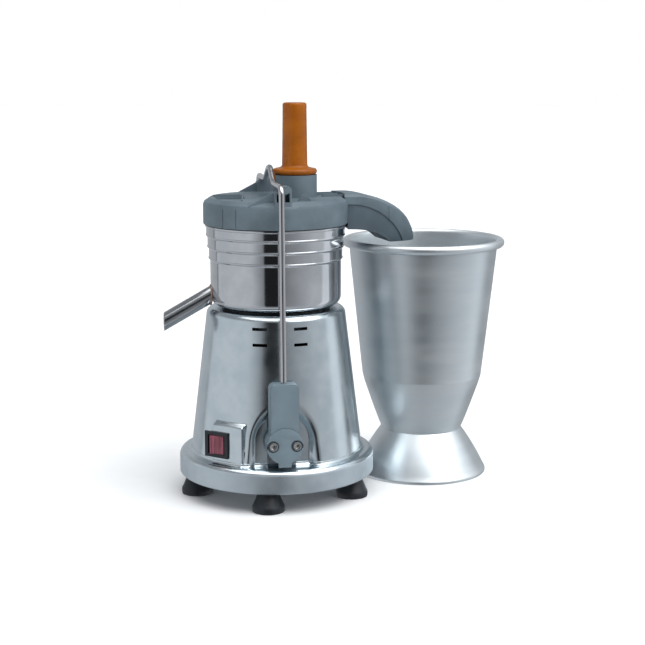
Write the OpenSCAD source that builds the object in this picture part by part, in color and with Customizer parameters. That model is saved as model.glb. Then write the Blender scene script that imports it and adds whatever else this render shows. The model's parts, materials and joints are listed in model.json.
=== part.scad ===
// Centrifugal juicer with a clamped lid and a separate pulp bin.
// Millimetres. +Z is up, the motor axis is X = Y = 0 and the table is Z = 0.
// The clamp's front is on -Y, the juice spout points along -X and the pulp chute towards +X.

/* [Machine body] */
// Radius of the base flange
flange_r = 120; // [110:1:145]
// Height of the base flange
flange_h = 28; // [22:1:34]
// Height of the body from the flange's underside to its top
body_h = 205; // [170:1:250]
// Radius of the body's cone where it meets the flange
cone_bottom_r = 105.5; // [95:0.5:108]
// Radius of the body's cone at its top
cone_top_r = 84; // [80:0.5:92]
// Wall of the cast body
wall_t = 4; // [3:0.5:5]
// Rounding of the flange's and the body's top edges
edge_round = 7; // [3:0.5:8]

/* [Feet] */
// Height of a foot
foot_h = 25; // [15:1:40]
// Radius of a foot's sole
foot_r = 19.5; // [14:0.5:22]
// Radius of a foot's neck
foot_neck_r = 12; // [8:0.5:13]
// Number of feet
foot_count = 5; // [3:1:6]

/* [Bowl] */
// Height of the bowl
bowl_h = 98.8; // [80:0.2:125]
// Radius of the bowl's wall
bowl_r = 79.6; // [76:0.2:84]
// Radius of the bowl's mouth
mouth_r = 85.3; // [83:0.1:88]
// Height of the bowl's wide mouth band
mouth_h = 9.5; // [7:0.5:12]
// Thickness of the bowl's sheet
sheet_t = 1.5; // [1:0.1:2]
// Outer radius of the spout tube
spout_r = 10; // [7:0.5:12]
// Angle of the spout below level
spout_drop = 29; // [15:1:35]
// Distance of the spout's mouth from the motor axis
spout_reach = 137; // [115:1:180]

/* [Lid] */
// Height of the lid without its tube and saddles
lid_h = 31.7; // [26:0.1:40]
// Clearance between the lid's skirt and the bowl's mouth
skirt_gap = 2.2; // [1.5:0.1:4]
// Wall of the lid and the chute
lid_t = 3.2; // [2.5:0.1:4]
// Outer radius of the feed tube
tube_r = 26.8; // [20:0.1:28]
// Height of the feed tube above the lid
tube_rise = 26.5; // [15:0.5:60]
// Wall of the feed tube
tube_t = 3; // [2:0.1:4]
// Height of the saddles' seats above the lid
saddle_h = 14.5; // [10:0.5:20]
// Left end of the ramps
ramp_run = 35; // [24:1:38]

/* [Chute] */
// Half width of the pulp chute
chute_w = 29; // [22:0.5:32]
// Distance of the chute's tip from the motor axis
chute_reach = 178; // [165:1:205]
// Height that the chute's outlet hangs below the lid
outlet_drop = 25.3; // [22:0.1:36]
// Angle of the chute from +X
chute_turn = 8; // [0:1:15]

/* [Pusher] */
// Height of the pusher's grip above its collar
grip_h = 77; // [40:1:110]
// Radius of the grip at its top
grip_r = 14.4; // [10:0.1:18]
// Clearance between the pusher and the feed tube
pusher_gap = 0.6; // [0.3:0.1:1.5]

/* [Clamp] */
// Diameter of the bail's rod
rod_d = 7; // [5:0.5:9]
// Width of a bail arm
arm_w = 34; // [28:0.5:36]
// Length of a bail arm from its pivot to its top
arm_l = 73; // [60:1:80]
// Depth of a bail arm
arm_t = 19; // [17:0.5:24]
// Height of the pivots above the flange
pivot_rise = 30; // [28:1:40]

/* [Switch] */
// Width of the switch bezel
bezel_w = 33; // [28:0.5:36]
// Height of the switch bezel
bezel_h = 31; // [26:0.5:33]
// Angle to which the rocker leans in each position
rocker_lean = 9; // [6:1:11]

/* [Filter basket] */
// Radius of the basket's floor
basket_r = 59; // [56:0.5:62]
// Thickness of the basket's wall
basket_t = 1.2; // [0.8:0.1:1.6]

/* [Motor] */
// Outer radius of the stator
stator_r = 62; // [52:0.5:64]
// Height of the stator
stator_h = 70; // [50:1:80]
// Radius of the motor shaft
shaft_r = 7.5; // [6:0.5:9]

/* [Pulp bin] */
// Radius of the bin's rolled rim
bin_rim_r = 103.2; // [95:0.2:112]
// Distance of the bin from the motor axis, or as far as the flange and the foot need
bin_reach = 205; // [190:1:240]
// Angle of the bin from +X
bin_turn = 15.4; // [5:0.1:25]
// Thickness of the bin's sheet
bin_t = 2; // [1.5:0.1:3]

/* [Hidden] */
$fn = 96;
eps = 0.01;
slide_gap = 0.3;      // between faces of different moving pieces
fit_gap = 0.05;       // running fit, on the radius

// Heights, from the table up
flange_z = foot_h;
cone_z = flange_z + flange_h;
top_z = flange_z + body_h;
pivot_z = cone_z + pivot_rise;
seat_ring_h = 2;
bowl_z = top_z + seat_ring_h;
rim_z = bowl_z + bowl_h;
gasket_t = 1;
lid_z = rim_z + gasket_t;
lid_top_z = lid_z + lid_h;
tube_top_z = lid_top_z + tube_rise;
outlet_z = lid_z - outlet_drop;

// Radii and places that follow from the driving sizes
lid_r = mouth_r + skirt_gap;
skin_t = wall_t;
foot_ring_r = flange_r - 20;
foot_first = -104;
plate_r = flange_r - wall_t - 0.5;
plate_t = 3;
post_r = 5;
post_ring_r = flange_r - wall_t - post_r - 3;
neck_r = 60;
bracket_r = 70;
bolt_ring_r = 66.5;
bolt_r = 2.5;
bearing_r = 17.5;
bearing_h = 11;
bracket_t = 6;
boss_r = 24;
collar_r = boss_r + 1.2;
collar_h = 15;
bracket_z = top_z - wall_t - bracket_t;
stator_z = top_z - 120;
winding_h = 14;
rotor_gap = 0.5;
rotor_r = stator_r - 29.5;
low_bracket_z = stator_z - winding_h - 16;
shaft_bottom_z = low_bracket_z - 24;
basket_z = bowl_z + 22;
floor_t = 2;
grater_z = basket_z + floor_t;
grater_t = 3;
nut_h = 4;
shaft_top_z = grater_z + grater_t + nut_h - 1;
spigot_r = mouth_r - sheet_t - 2.3;
spigot_t = 2.8;
spigot_l = 9.5;
ledge_t = 3.2;
basket_rim_r = spigot_r - spigot_t - 1.7;
basket_rim_z = lid_z + 0.5;
tube_left = -3;
tube_gap = 0.5;          // between the feed tube and the bail's rod
tube_x = tube_left + tube_r;
tube_bottom_z = shaft_top_z + 4;
pusher_collar_h = 8.5;
plunger_r = tube_r - tube_t - pusher_gap;

// Clamp: the bail's plane, the pivot stack and the rod's route
rod_r = rod_d / 2;
bail_x = tube_left - tube_gap - rod_r;
function cone_r(z) = cone_bottom_r + (cone_top_r - cone_bottom_r) * (z - cone_z) / (top_z - cone_z);
recess_depth = 11;
recess_y = cone_r(pivot_z) - recess_depth;
recess_w = arm_w / 2 + 16;
recess_flare = 1.3;
bracket_plate_t = 3;
boss_y = recess_y + bracket_plate_t;
arm_y = boss_y + 4.5;
arm_face_y = arm_y + arm_t;
rod_y = arm_y + arm_t / 2;
arm_corner_r = 6;
arm_bevel = 0.9;
ring_r = arm_w / 2 + 4.5;
pin_r = ring_r - 3.5;
cap_t = 4.7;
cap_gap = slide_gap;
cap_y = arm_face_y - cap_t + 0.5;
cap_screw_x = 14;
cap_screw_r = 3;
screw_head_r = 5.3;
counterbore_r = 6.9;
seat_z = lid_top_z + saddle_h;
rod_top_z = seat_z + rod_r + slide_gap;
rod_top_y = lid_r + rod_r + 7;
rod_arch_h = 17;
spring_r = 5.6;
spring_wire_r = 0.8;
spring_turns = 7;
pocket_r = spring_r + spring_wire_r + 0.5;
pocket_top_z = pivot_z + arm_l - 12;
end_nut_h = 5;
pocket_z = pivot_z + ring_r + 3;
rod_end_z = pocket_z + 1.5;
spring_z = rod_end_z + end_nut_h + 1;

// Saddles and ramps on the lid
saddle_y = 77;
saddle_d = 17;
saddle_left = 6;
saddle_right = 14;
stop_rise = 4.5;
ramp_t = 4;

// Marks on the lid: grooves and a shallow scoop in the skirt, ribs on the top
skirt_grooves = [-143, -130];
scoop_turn = -111;
scoop_r = 40;
scoop_rise = 2;
rib_t = 1.2;
rib_h = 1.1;
grille_pitch = 8;
grille_l = 34;
root_rib_y = chute_w - 9;
long_rib_turn = -8;
long_rib_x = -40;
long_rib_l = 112;
fin_x = 26;
fin_y = 61;
fin_w = 16;
fin_h = 8.3;
fin_t = 2.5;

// Switch pad
pad_angle = 220;
pad_turn = -42;
pad_w = bezel_w + 10;
pad_top = bezel_h / 2 + 12;
pad_face = cone_r(cone_z) + 0.5;
switch_z = cone_z + 23;
bezel_t = 2.5;
well_w = bezel_w - 9;
well_h = bezel_h - 8;
rocker_r = well_w / 2 - 0.4;
rocker_pivot = 4;

// Chute outlines, in the plane of the chute's own axis
roof_lift = 2.8;
chute_root = lid_r - 21;
shoulder_x = lid_r + 4.5;
ridge_x = lid_r + (chute_reach - lid_r) * 0.547;
outlet_x = ridge_x + 1;
chute_edge = 3.5;
throat_edge = 0.6;
shell_inset = 1.2;       // how far the lower shell stands back from the roof's edge
curve_n = 14;
function bez(p, t) = p[0] * pow(1 - t, 3) + 3 * p[1] * t * pow(1 - t, 2)
                   + 3 * p[2] * t * t * (1 - t) + p[3] * pow(t, 3);
function curve(p) = [for (i = [0:curve_n]) bez(p, i / curve_n)];
function shifted(pts, d) = [for (p = pts) p + d];
function flipped(pts) = [for (i = [len(pts) - 1:-1:0]) pts[i]];
roof_z = lid_top_z + roof_lift;
chute_run = chute_reach - shoulder_x;
chute_fall = roof_z - outlet_z;
roof_line = concat([[chute_root, roof_z]],
    curve([[shoulder_x, roof_z], [shoulder_x + 0.38 * chute_run, roof_z],
           [chute_reach - 0.09 * chute_run, roof_z - 0.37 * chute_fall], [chute_reach, outlet_z]]));
seam_z = roof_z - 12.5;
seam_line = concat([[chute_root, seam_z]],
    curve([[lid_r, seam_z], [shoulder_x + 0.3 * chute_run, seam_z],
           [chute_reach - 0.37 * chute_run, seam_z - 0.35 * chute_fall],
           [chute_reach - 0.25 * chute_run, outlet_z - 1]]));
floor_z = lid_z - 8;
floor_line = curve([[chute_root, floor_z], [lid_r + 17, floor_z],
                    [outlet_x - 16, floor_z - 2], [outlet_x, outlet_z]]);

// Pulp bin
bin_h = outlet_z - 3;
bin_bead_r = 5.3;
bin_curl_gap = 1.4;
bin_neck_z = 57;
bin_knee_z = bin_neck_z + 69;
bin_neck_r = bin_rim_r - 51.8;
bin_knee_r = bin_rim_r - 26.7;
bin_mouth_r = bin_rim_r - 2 * bin_bead_r + 0.6;
bin_foot_r = bin_rim_r - 19.2;
bin_clear = 1;
bin_at = max(bin_reach, flange_r + bin_foot_r + bin_clear);
bin_x = bin_at * cos(bin_turn);
bin_y = bin_at * sin(bin_turn);

// Points of an arc, for outlines
function arc(cx, cy, r, a0, a1, n = 8) =
    [for (i = [0:n]) [cx + r * cos(a0 + (a1 - a0) * i / n), cy + r * sin(a0 + (a1 - a0) * i / n)]];

// A ring between two radii
module ring(r_out, r_in, h) {
    difference() {
        cylinder(r = r_out, h = h);
        translate([0, 0, -1]) cylinder(r = r_in, h = h + 2);
    }
}

// Copies at equal angles on a circle
module around(count, r, first = 0) {
    for (i = [0:count - 1]) rotate([0, 0, first + i * 360 / count]) translate([r, 0, 0]) children();
}

// Children drawn in XZ and pulled from y0 to y1
module pull_y(y0, y1) {
    translate([0, y1, 0]) rotate([90, 0, 0]) linear_extrude(y1 - y0) children();
}

// Front and rear copies of what is drawn on the front, at -Y
module front() { translate([bail_x, 0, 0]) children(); }
module rear() { translate([bail_x, 0, 0]) mirror([0, 1, 0]) children(); }

// A round bar along -Y from y0 out to y1, about the pivot axis or beside it
module pivot_bar(r, y0, y1, x = 0, z = pivot_z) {
    translate([x, -y0, z]) rotate([90, 0, 0]) cylinder(r = r, h = y1 - y0);
}

// ---------- Body ----------

module body_outline() {
    polygon(concat(
        [[flange_r - 1, flange_z], [flange_r, flange_z + 1]],
        arc(flange_r - edge_round, cone_z - edge_round, edge_round, 0, 90),
        arc(cone_bottom_r + 4, cone_z + 4, 4, 270, 180, 5),
        arc(cone_r(top_z - edge_round) - edge_round, top_z - edge_round, edge_round, 7, 90),
        [[neck_r, top_z], [neck_r, top_z - wall_t]],
        [[cone_top_r - edge_round - 1, top_z - wall_t], [cone_top_r - wall_t, top_z - edge_round - 2]],
        [[cone_bottom_r - wall_t, cone_z], [cone_bottom_r, cone_z - wall_t]],
        [[flange_r - wall_t - 2, cone_z - wall_t], [flange_r - wall_t, cone_z - wall_t - 3]],
        [[flange_r - wall_t, flange_z]]));
}

// What lies inside the middle of the cone's wall
module body_core() {
    translate([0, 0, cone_z - 2]) cylinder(r1 = cone_r(cone_z - 2) - wall_t / 2,
        r2 = cone_r(top_z) - wall_t / 2, h = top_z - cone_z);
}

// The arch of the recess round a pivot, wider by grow and deeper by drop
module arch(grow = 0, drop = 0) {
    translate([0, pivot_z]) circle(r = recess_w + grow);
    translate([-recess_w - grow, cone_z - drop]) square([2 * (recess_w + grow), pivot_rise + drop]);
}

module recess_backing() {
    intersection() {
        body_core();
        translate([bail_x, 0, 0]) pull_y(-flange_r, -recess_y + skin_t) arch(skin_t, 3);
    }
}

// The recess itself, with its flared edge
module recess_cut() {
    translate([bail_x, 0, 0]) {
        difference() {
            union() {
                pull_y(-flange_r, -recess_y) arch(0, eps);
                translate([0, -recess_y, pivot_z]) rotate([90, 0, 0])
                    cylinder(r1 = recess_w, r2 = recess_w + recess_flare * 24, h = 24);
                translate([0, 0, cone_z]) linear_extrude(pivot_rise)
                    polygon([[-recess_w, -recess_y], [recess_w, -recess_y],
                             [recess_w + recess_flare * 24, -recess_y - 24],
                             [-recess_w - recess_flare * 24, -recess_y - 24]]);
            }
            translate([-flange_r, -flange_r, 0]) cube([2 * flange_r, 2 * flange_r, cone_z]);
        }
    }
}

// Children placed on the middle of the switch pad's face, with -Y pointing out
module on_pad() {
    translate([pad_face * cos(pad_angle), pad_face * sin(pad_angle), switch_z])
        rotate([0, 0, pad_turn]) children();
}

module pad_block(inset = 0, depth = 24) {
    on_pad() {
        pull_y(inset, depth) translate([-pad_w / 2 + inset, cone_z - switch_z - eps])
            square([pad_w - 2 * inset, pad_top + switch_z - cone_z - inset]);
        translate([0, 0, cone_z - switch_z - eps]) linear_extrude(pad_top + switch_z - cone_z - inset - 3)
            polygon([[-pad_w / 2 + inset, inset + 3], [-pad_w / 2 + inset + 3, inset],
                     [pad_w / 2 - inset - 3, inset], [pad_w / 2 - inset, inset + 3]]);
    }
}

module housing() {
    color([0.66, 0.70, 0.73]) difference() {
        union() {
            rotate_extrude() body_outline();
            recess_backing();
            mirror([0, 1, 0]) recess_backing();
            intersection() {
                pad_block();
                translate([0, 0, cone_z - 2]) ring(cone_bottom_r + 12, cone_top_r - 6, body_h);
            }
            around(foot_count, post_ring_r, foot_first + 180 / foot_count)
                translate([0, 0, flange_z + plate_t]) cylinder(r = post_r, h = flange_h - wall_t);
        }
        recess_cut();
        mirror([0, 1, 0]) recess_cut();
        on_pad() translate([-bezel_w / 2 + 2, -eps, -bezel_h / 2 + 2])
            cube([bezel_w - 4, 40, bezel_h - 4]);
        intersection() {
            on_pad() translate([-pad_w / 2 + wall_t, wall_t, cone_z - switch_z])
                cube([pad_w - 2 * wall_t, 30, pad_top + switch_z - cone_z - wall_t]);
            translate([0, 0, cone_z]) cylinder(r = cone_r(cone_z) + 1, h = body_h);
        }
        for (x = [-24, 24], z = [top_z - 33, top_z - 14.5])
            translate([bail_x + x, 0, z]) pull_y(-flange_r, 0) slot_outline(16, 3);
        for (s = [0, 1]) mirror([0, s, 0]) translate([bail_x, 0, 0])
            for (x = [-1, 1]) pivot_bar(1.6, recess_y - 10, flange_r, x * bracket_screw_x, bracket_screw_z);
        gland_place() translate([0, 0, -20]) cylinder(r = gland_r, h = 40);
        around(foot_count, post_ring_r, foot_first + 180 / foot_count)
            translate([0, 0, flange_z]) cylinder(r = 2, h = 14);
        around(4, bolt_ring_r, 45) translate([0, 0, top_z - 2 * wall_t]) cylinder(r = bolt_r, h = 3 * wall_t);
    }
}

module slot_outline(l, w) {
    translate([-l / 2 + w / 2, 0]) circle(d = w, $fn = 24);
    translate([l / 2 - w / 2, 0]) circle(d = w, $fn = 24);
    translate([-l / 2 + w / 2, -w / 2]) square([l - w, w]);
}

module base_plate() {
    color([0.55, 0.57, 0.59]) difference() {
        translate([0, 0, flange_z]) cylinder(r = plate_r, h = plate_t);
        around(foot_count, foot_ring_r, foot_first) translate([0, 0, flange_z - 1]) cylinder(r = 2.5, h = 6);
        around(foot_count, post_ring_r, foot_first + 180 / foot_count)
            translate([0, 0, flange_z - 1]) cylinder(r = 2, h = 6);
        for (i = [-2:2]) translate([i * 14 - 3, -34, flange_z - 1]) cube([6, 68, plate_t + 2]);
    }
}

module base_screws() {
    color([0.6, 0.6, 0.62]) around(foot_count, post_ring_r, foot_first + 180 / foot_count) {
        translate([0, 0, flange_z - 2]) cylinder(r = 3.4, h = 2);
        translate([0, 0, flange_z - eps]) cylinder(r = 1.9, h = 12);
    }
}

module feet() {
    color([0.08, 0.09, 0.11]) around(foot_count, foot_ring_r, foot_first) difference() {
        rotate_extrude() polygon([[0, 0], [foot_r - 1, 0], [foot_r, 1], [foot_r, 6], [foot_r - 1.5, 9],
            [foot_neck_r + 1, foot_h - 5], [foot_neck_r, foot_h], [0, foot_h]]);
        translate([0, 0, -1]) cylinder(r = 5, h = 9);
        translate([0, 0, 5]) cylinder(r = 2.5, h = foot_h);
    }
}

module foot_screws() {
    color([0.6, 0.6, 0.62]) around(foot_count, foot_ring_r, foot_first) {
        translate([0, 0, 5]) cylinder(r = 4.5, h = 3 - eps);
        translate([0, 0, 7]) cylinder(r = 2.4, h = foot_h + plate_t + 3 - 7);
        translate([0, 0, foot_h + plate_t + eps]) cylinder(r = 4.6, h = 3.5, $fn = 6);
    }
}

gland_r = 8;
gland_z = cone_z + 22;
gland_turn = 52;
module gland_place() {
    rotate([0, 0, gland_turn]) translate([cone_r(gland_z), 0, gland_z]) rotate([0, 90, 0]) children();
}
module cable_gland() {
    color([0.1, 0.1, 0.11]) gland_place() difference() {
        union() {
            translate([0, 0, -14]) cylinder(r = gland_r - 0.1, h = 20);
            translate([0, 0, 4]) cylinder(r = gland_r + 3, h = 6, $fn = 6);
            translate([0, 0, 10 - eps]) cylinder(r1 = gland_r, r2 = gland_r - 2, h = 10);
            translate([0, 0, -14]) cylinder(r = gland_r + 3, h = 5, $fn = 6);
        }
        translate([0, 0, -20]) cylinder(r = 3.6, h = 50);
    }
}

// ---------- Motor ----------

module bracket_holes(z) {
    around(4, bolt_ring_r, 45) translate([0, 0, z - 30]) cylinder(r = bolt_r, h = 60);
}

module motor_top_bracket() {
    color([0.6, 0.62, 0.64]) difference() {
        union() {
            translate([0, 0, bracket_z]) cylinder(r = bracket_r, h = bracket_t);
            translate([0, 0, bracket_z - 6]) cylinder(r = boss_r, h = top_z + 6 - bracket_z + 6);
            translate([0, 0, bracket_z - 12]) ring(bracket_r, bracket_r - 6, 12 + eps);
        }
        translate([0, 0, bracket_z - 7]) cylinder(r = bearing_r, h = bearing_h + 3);
        translate([0, 0, bracket_z]) cylinder(r = shaft_r + 2, h = 40);
        translate([0, 0, top_z + 2]) cylinder(r = shaft_r + 6, h = 10);
        bracket_holes(bracket_z);
        around(4, 44, 0) translate([0, 0, bracket_z - 1]) cylinder(r = 8, h = bracket_t + 2);
    }
}

module motor_bottom_bracket() {
    color([0.6, 0.62, 0.64]) difference() {
        union() {
            translate([0, 0, low_bracket_z]) cylinder(r = bracket_r, h = bracket_t);
            translate([0, 0, low_bracket_z - 4]) cylinder(r = boss_r, h = bearing_h + 5);
            translate([0, 0, low_bracket_z]) ring(bracket_r, bracket_r - 6, 14);
        }
        translate([0, 0, low_bracket_z - 3]) cylinder(r = bearing_r, h = 30);
        translate([0, 0, low_bracket_z - 10]) cylinder(r = shaft_r + 3, h = 20);
        bracket_holes(low_bracket_z);
        around(4, 44, 0) translate([0, 0, low_bracket_z - 1]) cylinder(r = 8, h = bracket_t + 2);
    }
}

module motor_bolts() {
    color([0.55, 0.55, 0.57]) around(4, bolt_ring_r, 45) {
        translate([0, 0, low_bracket_z - 4]) cylinder(r = 4.4, h = 4 - eps, $fn = 6);
        translate([0, 0, low_bracket_z - 2]) cylinder(r = bolt_r - 0.1, h = top_z - low_bracket_z + 2);
    }
}

module stator() {
    color([0.35, 0.36, 0.38]) translate([0, 0, stator_z]) ring(stator_r, rotor_r + rotor_gap, stator_h);
}

module stator_windings() {
    color([0.62, 0.33, 0.16])
        for (z = [stator_z - winding_h, stator_z + stator_h])
            translate([0, 0, z + 0.2]) ring(stator_r - 5, rotor_r + 4, winding_h - 0.4);
}

module capacitor() {
    color([0.82, 0.82, 0.80]) translate([cone_bottom_r - 27.5, -24, flange_z + plate_t + 17.5])
        rotate([-90, 0, 0]) cylinder(r = 17, h = 48);
}

module bearing(z) {
    color([0.7, 0.71, 0.73]) translate([0, 0, z]) difference() {
        ring(bearing_r - 0.02, shaft_r, bearing_h);
        for (s = [-1, bearing_h - 1]) translate([0, 0, s]) ring(bearing_r - 4, shaft_r + 3.5, 2);
    }
}
module bearing_top() { bearing(bracket_z + bearing_h - 4 - bearing_h); }
module bearing_bottom() { bearing(low_bracket_z - 3); }

module shaft_seal() {
    color([0.1, 0.1, 0.1]) translate([0, 0, top_z + 2]) ring(shaft_r + 5.98, shaft_r + 0.3, 4);
}

module motor_shaft() {
    color([0.7, 0.71, 0.73]) {
        translate([0, 0, shaft_bottom_z]) cylinder(r = shaft_r, h = basket_z - 3 - shaft_bottom_z);
        translate([0, 0, basket_z - 3 - eps]) cylinder(r = shaft_r - 1.5, h = shaft_top_z - basket_z + 3);
    }
}

module rotor_core() {
    color([0.45, 0.46, 0.48]) translate([0, 0, stator_z + 2]) ring(rotor_r, shaft_r, stator_h - 4);
}

module cooling_fan() {
    color([0.15, 0.15, 0.16]) translate([0, 0, shaft_bottom_z]) {
        ring(16, shaft_r, 12);
        ring(48, 15, 2);
        around(9, 15, 0) translate([0, -1, 0]) cube([33, 2, 12]);
    }
}

// ---------- Bowl, basket and lid ----------

module bowl_seat_ring() {
    color([0.12, 0.12, 0.13]) translate([0, 0, top_z]) ring(neck_r + 6, neck_r + 1, seat_ring_h);
}

// Radii of the stepped wall from the mouth down, at the three beads
heel_r = 12;
bead_step = 1.5;
bead_out = 1.3;
bead_count = 3;
bead_pitch = 14;
bead_first = mouth_h + 3.7;
function wall_side(g) = concat(
    [[mouth_r - g, rim_z], [mouth_r - g, rim_z - mouth_h]],
    [for (i = [0:bead_count - 1])
        let (z = rim_z - bead_first - i * bead_pitch, r = bowl_r + (bead_count - 1 - i) * bead_step)
        each [[r + bead_out - g, z + 1.8], [r + bead_out - g, z], [r - g, z - 1.6]]],
    arc(bowl_r - heel_r, bowl_z + heel_r, heel_r - g, 0, -90, 7));

module bowl_blank() {
    polygon(concat(wall_side(0), [[0, bowl_z], [0, rim_z]]));
}

module juice_bowl() {
    color([0.78, 0.79, 0.80]) difference() {
        union() {
            rotate_extrude() difference() {
                bowl_blank();
                polygon(concat(wall_side(sheet_t), [[0, bowl_z + sheet_t], [0, rim_z + 1],
                    [mouth_r - sheet_t, rim_z + 1]]));
            }
            translate([0, 0, bowl_z]) cylinder(r = collar_r + sheet_t, h = collar_h);
        }
        translate([0, 0, bowl_z - 1]) cylinder(r = collar_r, h = collar_h + 2);
        spout_axis() cylinder(r = spout_r - sheet_t, h = 30, center = true);
    }
}

spout_root_z = bowl_z + spout_r / cos(spout_drop) + 2.4;
module spout_axis() {
    translate([-bowl_r, 0, spout_root_z]) rotate([0, -90 - spout_drop, 0]) children();
}

module juice_spout() {
    color([0.76, 0.77, 0.78]) difference() {
        intersection() {
            spout_axis() translate([0, 0, -8]) cylinder(r = spout_r, h = spout_reach);
            translate([-spout_reach, -spout_r - 1, 0]) cube([spout_reach, 2 * spout_r + 2, rim_z]);
        }
        spout_axis() translate([0, 0, -9]) cylinder(r = spout_r - sheet_t, h = spout_reach + 40);
        rotate_extrude() bowl_blank();
    }
}

module filter_basket() {
    color([0.74, 0.75, 0.77]) difference() {
        union() {
            rotate_extrude() polygon([[shaft_r - 1.5, basket_z], [basket_r, basket_z],
                [basket_rim_r - 1, basket_rim_z], [basket_rim_r, basket_rim_z + 0.5],
                [basket_rim_r, basket_rim_z + 3], [basket_rim_r - basket_t - 1, basket_rim_z + 3],
                [basket_r - basket_t, basket_z + floor_t], [shaft_r - 1.5, basket_z + floor_t]]);
            translate([0, 0, basket_z - 11]) ring(collar_r + 5, collar_r + 3.4, 11 + eps);
            translate([0, 0, basket_z - 3]) ring(14, shaft_r - 1.5, 3 + eps);
        }
        around(24, basket_r - 5) translate([0, 0, basket_z - 1]) cylinder(r = 1.5, h = 4, $fn = 16);
    }
}

module grater_disc() {
    color([0.7, 0.71, 0.73]) {
        translate([0, 0, grater_z]) ring(basket_r - 8, shaft_r - 1.5, grater_t);
        for (k = [0:3]) around(18, 18 + k * 8, k * 10)
            translate([0, -0.6, grater_z + grater_t - eps]) cube([2.4, 1.2, 1]);
    }
}

module basket_nut() {
    color([0.72, 0.73, 0.75]) translate([0, 0, grater_z + grater_t]) difference() {
        cylinder(r = 11, h = nut_h, $fn = 6);
        translate([0, 0, -1]) cylinder(r = shaft_r - 1.5, h = nut_h + 2);
    }
}

module lid_gasket() {
    color([0.13, 0.14, 0.15]) translate([0, 0, rim_z]) ring(mouth_r + 0.6, spigot_r + 0.2, gasket_t);
}

// The chute's outline seen from above, smaller by g
function plan_points(g) = concat([[0, -chute_w + g], [ridge_x, -chute_w + g]],
    [for (i = [1:11]) [ridge_x + (chute_reach - g - ridge_x) * sin(i * 7.5),
                       -(chute_w - g) * cos(i * 7.5)]],
    [[chute_reach - g, 0]],
    [for (i = [11:-1:1]) [ridge_x + (chute_reach - g - ridge_x) * sin(i * 7.5),
                          (chute_w - g) * cos(i * 7.5)]],
    [[ridge_x, chute_w - g], [0, chute_w - g]]);

// The chute seen from the side: the roof line lowered by g, then straight back to its root
module side_of(g) {
    pull_y(-chute_w - 1, chute_w + 1)
        polygon(concat(shifted(roof_line, [0, -g]), [[outlet_x, outlet_z - g], [chute_root, floor_z - 2]]));
}

module hood(g, inset) {
    intersection() {
        side_of(g);
        translate([0, 0, outlet_z - 5]) linear_extrude(roof_z) polygon(plan_points(inset));
    }
}

// The chute as one solid with bevelled edges, its floor cut to shape
module chute_solid() {
    difference() {
        union() {
            hull() {
                hood(chute_edge, 0);
                hood(0, chute_edge);
            }
            intersection() {
                side_of(chute_edge + 1);
                translate([ridge_x - 1, -chute_w - 0.8, 0]) cube([2, 2 * chute_w + 1.6, roof_z]);
            }
        }
        pull_y(-chute_w - 2, chute_w + 2)
            polygon(concat(floor_line, [[chute_reach + 9, outlet_z], [chute_reach + 9, outlet_z - 30],
                                        [chute_root - 1, outlet_z - 30], [chute_root - 1, floor_z]]));
    }
}

module chute_bore() {
    intersection() {
        pull_y(-chute_w, chute_w) polygon(concat(shifted(roof_line, [-lid_t, -lid_t - 1]),
            [[chute_reach - lid_t, outlet_z - 9], [outlet_x + 2, outlet_z - 9]],
            flipped(shifted(floor_line, [2, 2.6]))));
        translate([0, 0, outlet_z - 20]) linear_extrude(roof_z) polygon(plan_points(lid_t));
    }
}

module above_seam() {
    pull_y(-chute_w - 3, chute_w + 3)
        polygon(concat(seam_line, [[chute_reach + 9, outlet_z - 1], [chute_reach + 9, roof_z + 9],
                                   [chute_root - 9, roof_z + 9], [chute_root - 9, seam_z]]));
}

module lid_shell() {
    rotate_extrude() polygon([
        [spigot_r - spigot_t, lid_z - spigot_l], [spigot_r - 0.8, lid_z - spigot_l],
        [spigot_r, lid_z - spigot_l + 0.8], [spigot_r, lid_z], [lid_r - 0.6, lid_z],
        [lid_r, lid_z + 0.6], [lid_r, lid_top_z - 8], [lid_r - 1.6, lid_top_z - 4.4],
        [lid_r - 8.5, lid_top_z], [0, lid_top_z], [0, lid_top_z - lid_t],
        [lid_r - 9.5, lid_top_z - lid_t], [lid_r - lid_t - 1, lid_top_z - 7],
        [lid_r - lid_t, lid_top_z - 9], [lid_r - lid_t, lid_z + ledge_t],
        [spigot_r - spigot_t, lid_z + ledge_t]]);
}

// Ramp, seat and stop of one saddle, drawn at the front
module saddle() {
    stop_x = rod_r + slide_gap;
    intersection() {
        union() {
            pull_y(-saddle_y - ramp_t / 2 + 3, -saddle_y + ramp_t / 2 + 3) polygon([
                [-ramp_run, lid_top_z - 8], [-ramp_run, lid_top_z - 3.5], [-0.6, seat_z], [0, seat_z],
                [0, lid_top_z - 8]]);
            pull_y(-saddle_y - saddle_d / 2, -saddle_y + saddle_d / 2) polygon([
                [-saddle_left, lid_top_z - 8], [-saddle_left, seat_z - 3.2], [-0.6, seat_z], [stop_x, seat_z],
                [stop_x, seat_z + stop_rise - 1.5], [stop_x + 1.5, seat_z + stop_rise],
                [saddle_right - 4, seat_z + stop_rise], [saddle_right - 1.2, seat_z + stop_rise - 1.2],
                [saddle_right, seat_z + stop_rise - 4], [saddle_right, lid_top_z - 8]]);
        }
        translate([-bail_x, 0, 0]) cylinder(r = lid_r - 0.3, h = seat_z + 20);
    }
}

// Pockets that leave a saddle as thin ribs, open to the outside
module saddle_pockets() {
    for (x = [[-saddle_left + 2.4, -0.8], [stop_pocket_x, saddle_right - 2.4]])
        pull_y(-lid_r - 5, -saddle_y + saddle_d / 2 - 2.4)
            polygon([[x[0], lid_top_z + 0.8], [x[1], lid_top_z + 0.8], [x[1], seat_z - 3], [x[0], seat_z - 5]]);
}
stop_pocket_x = rod_r + slide_gap + 2.2;

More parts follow.
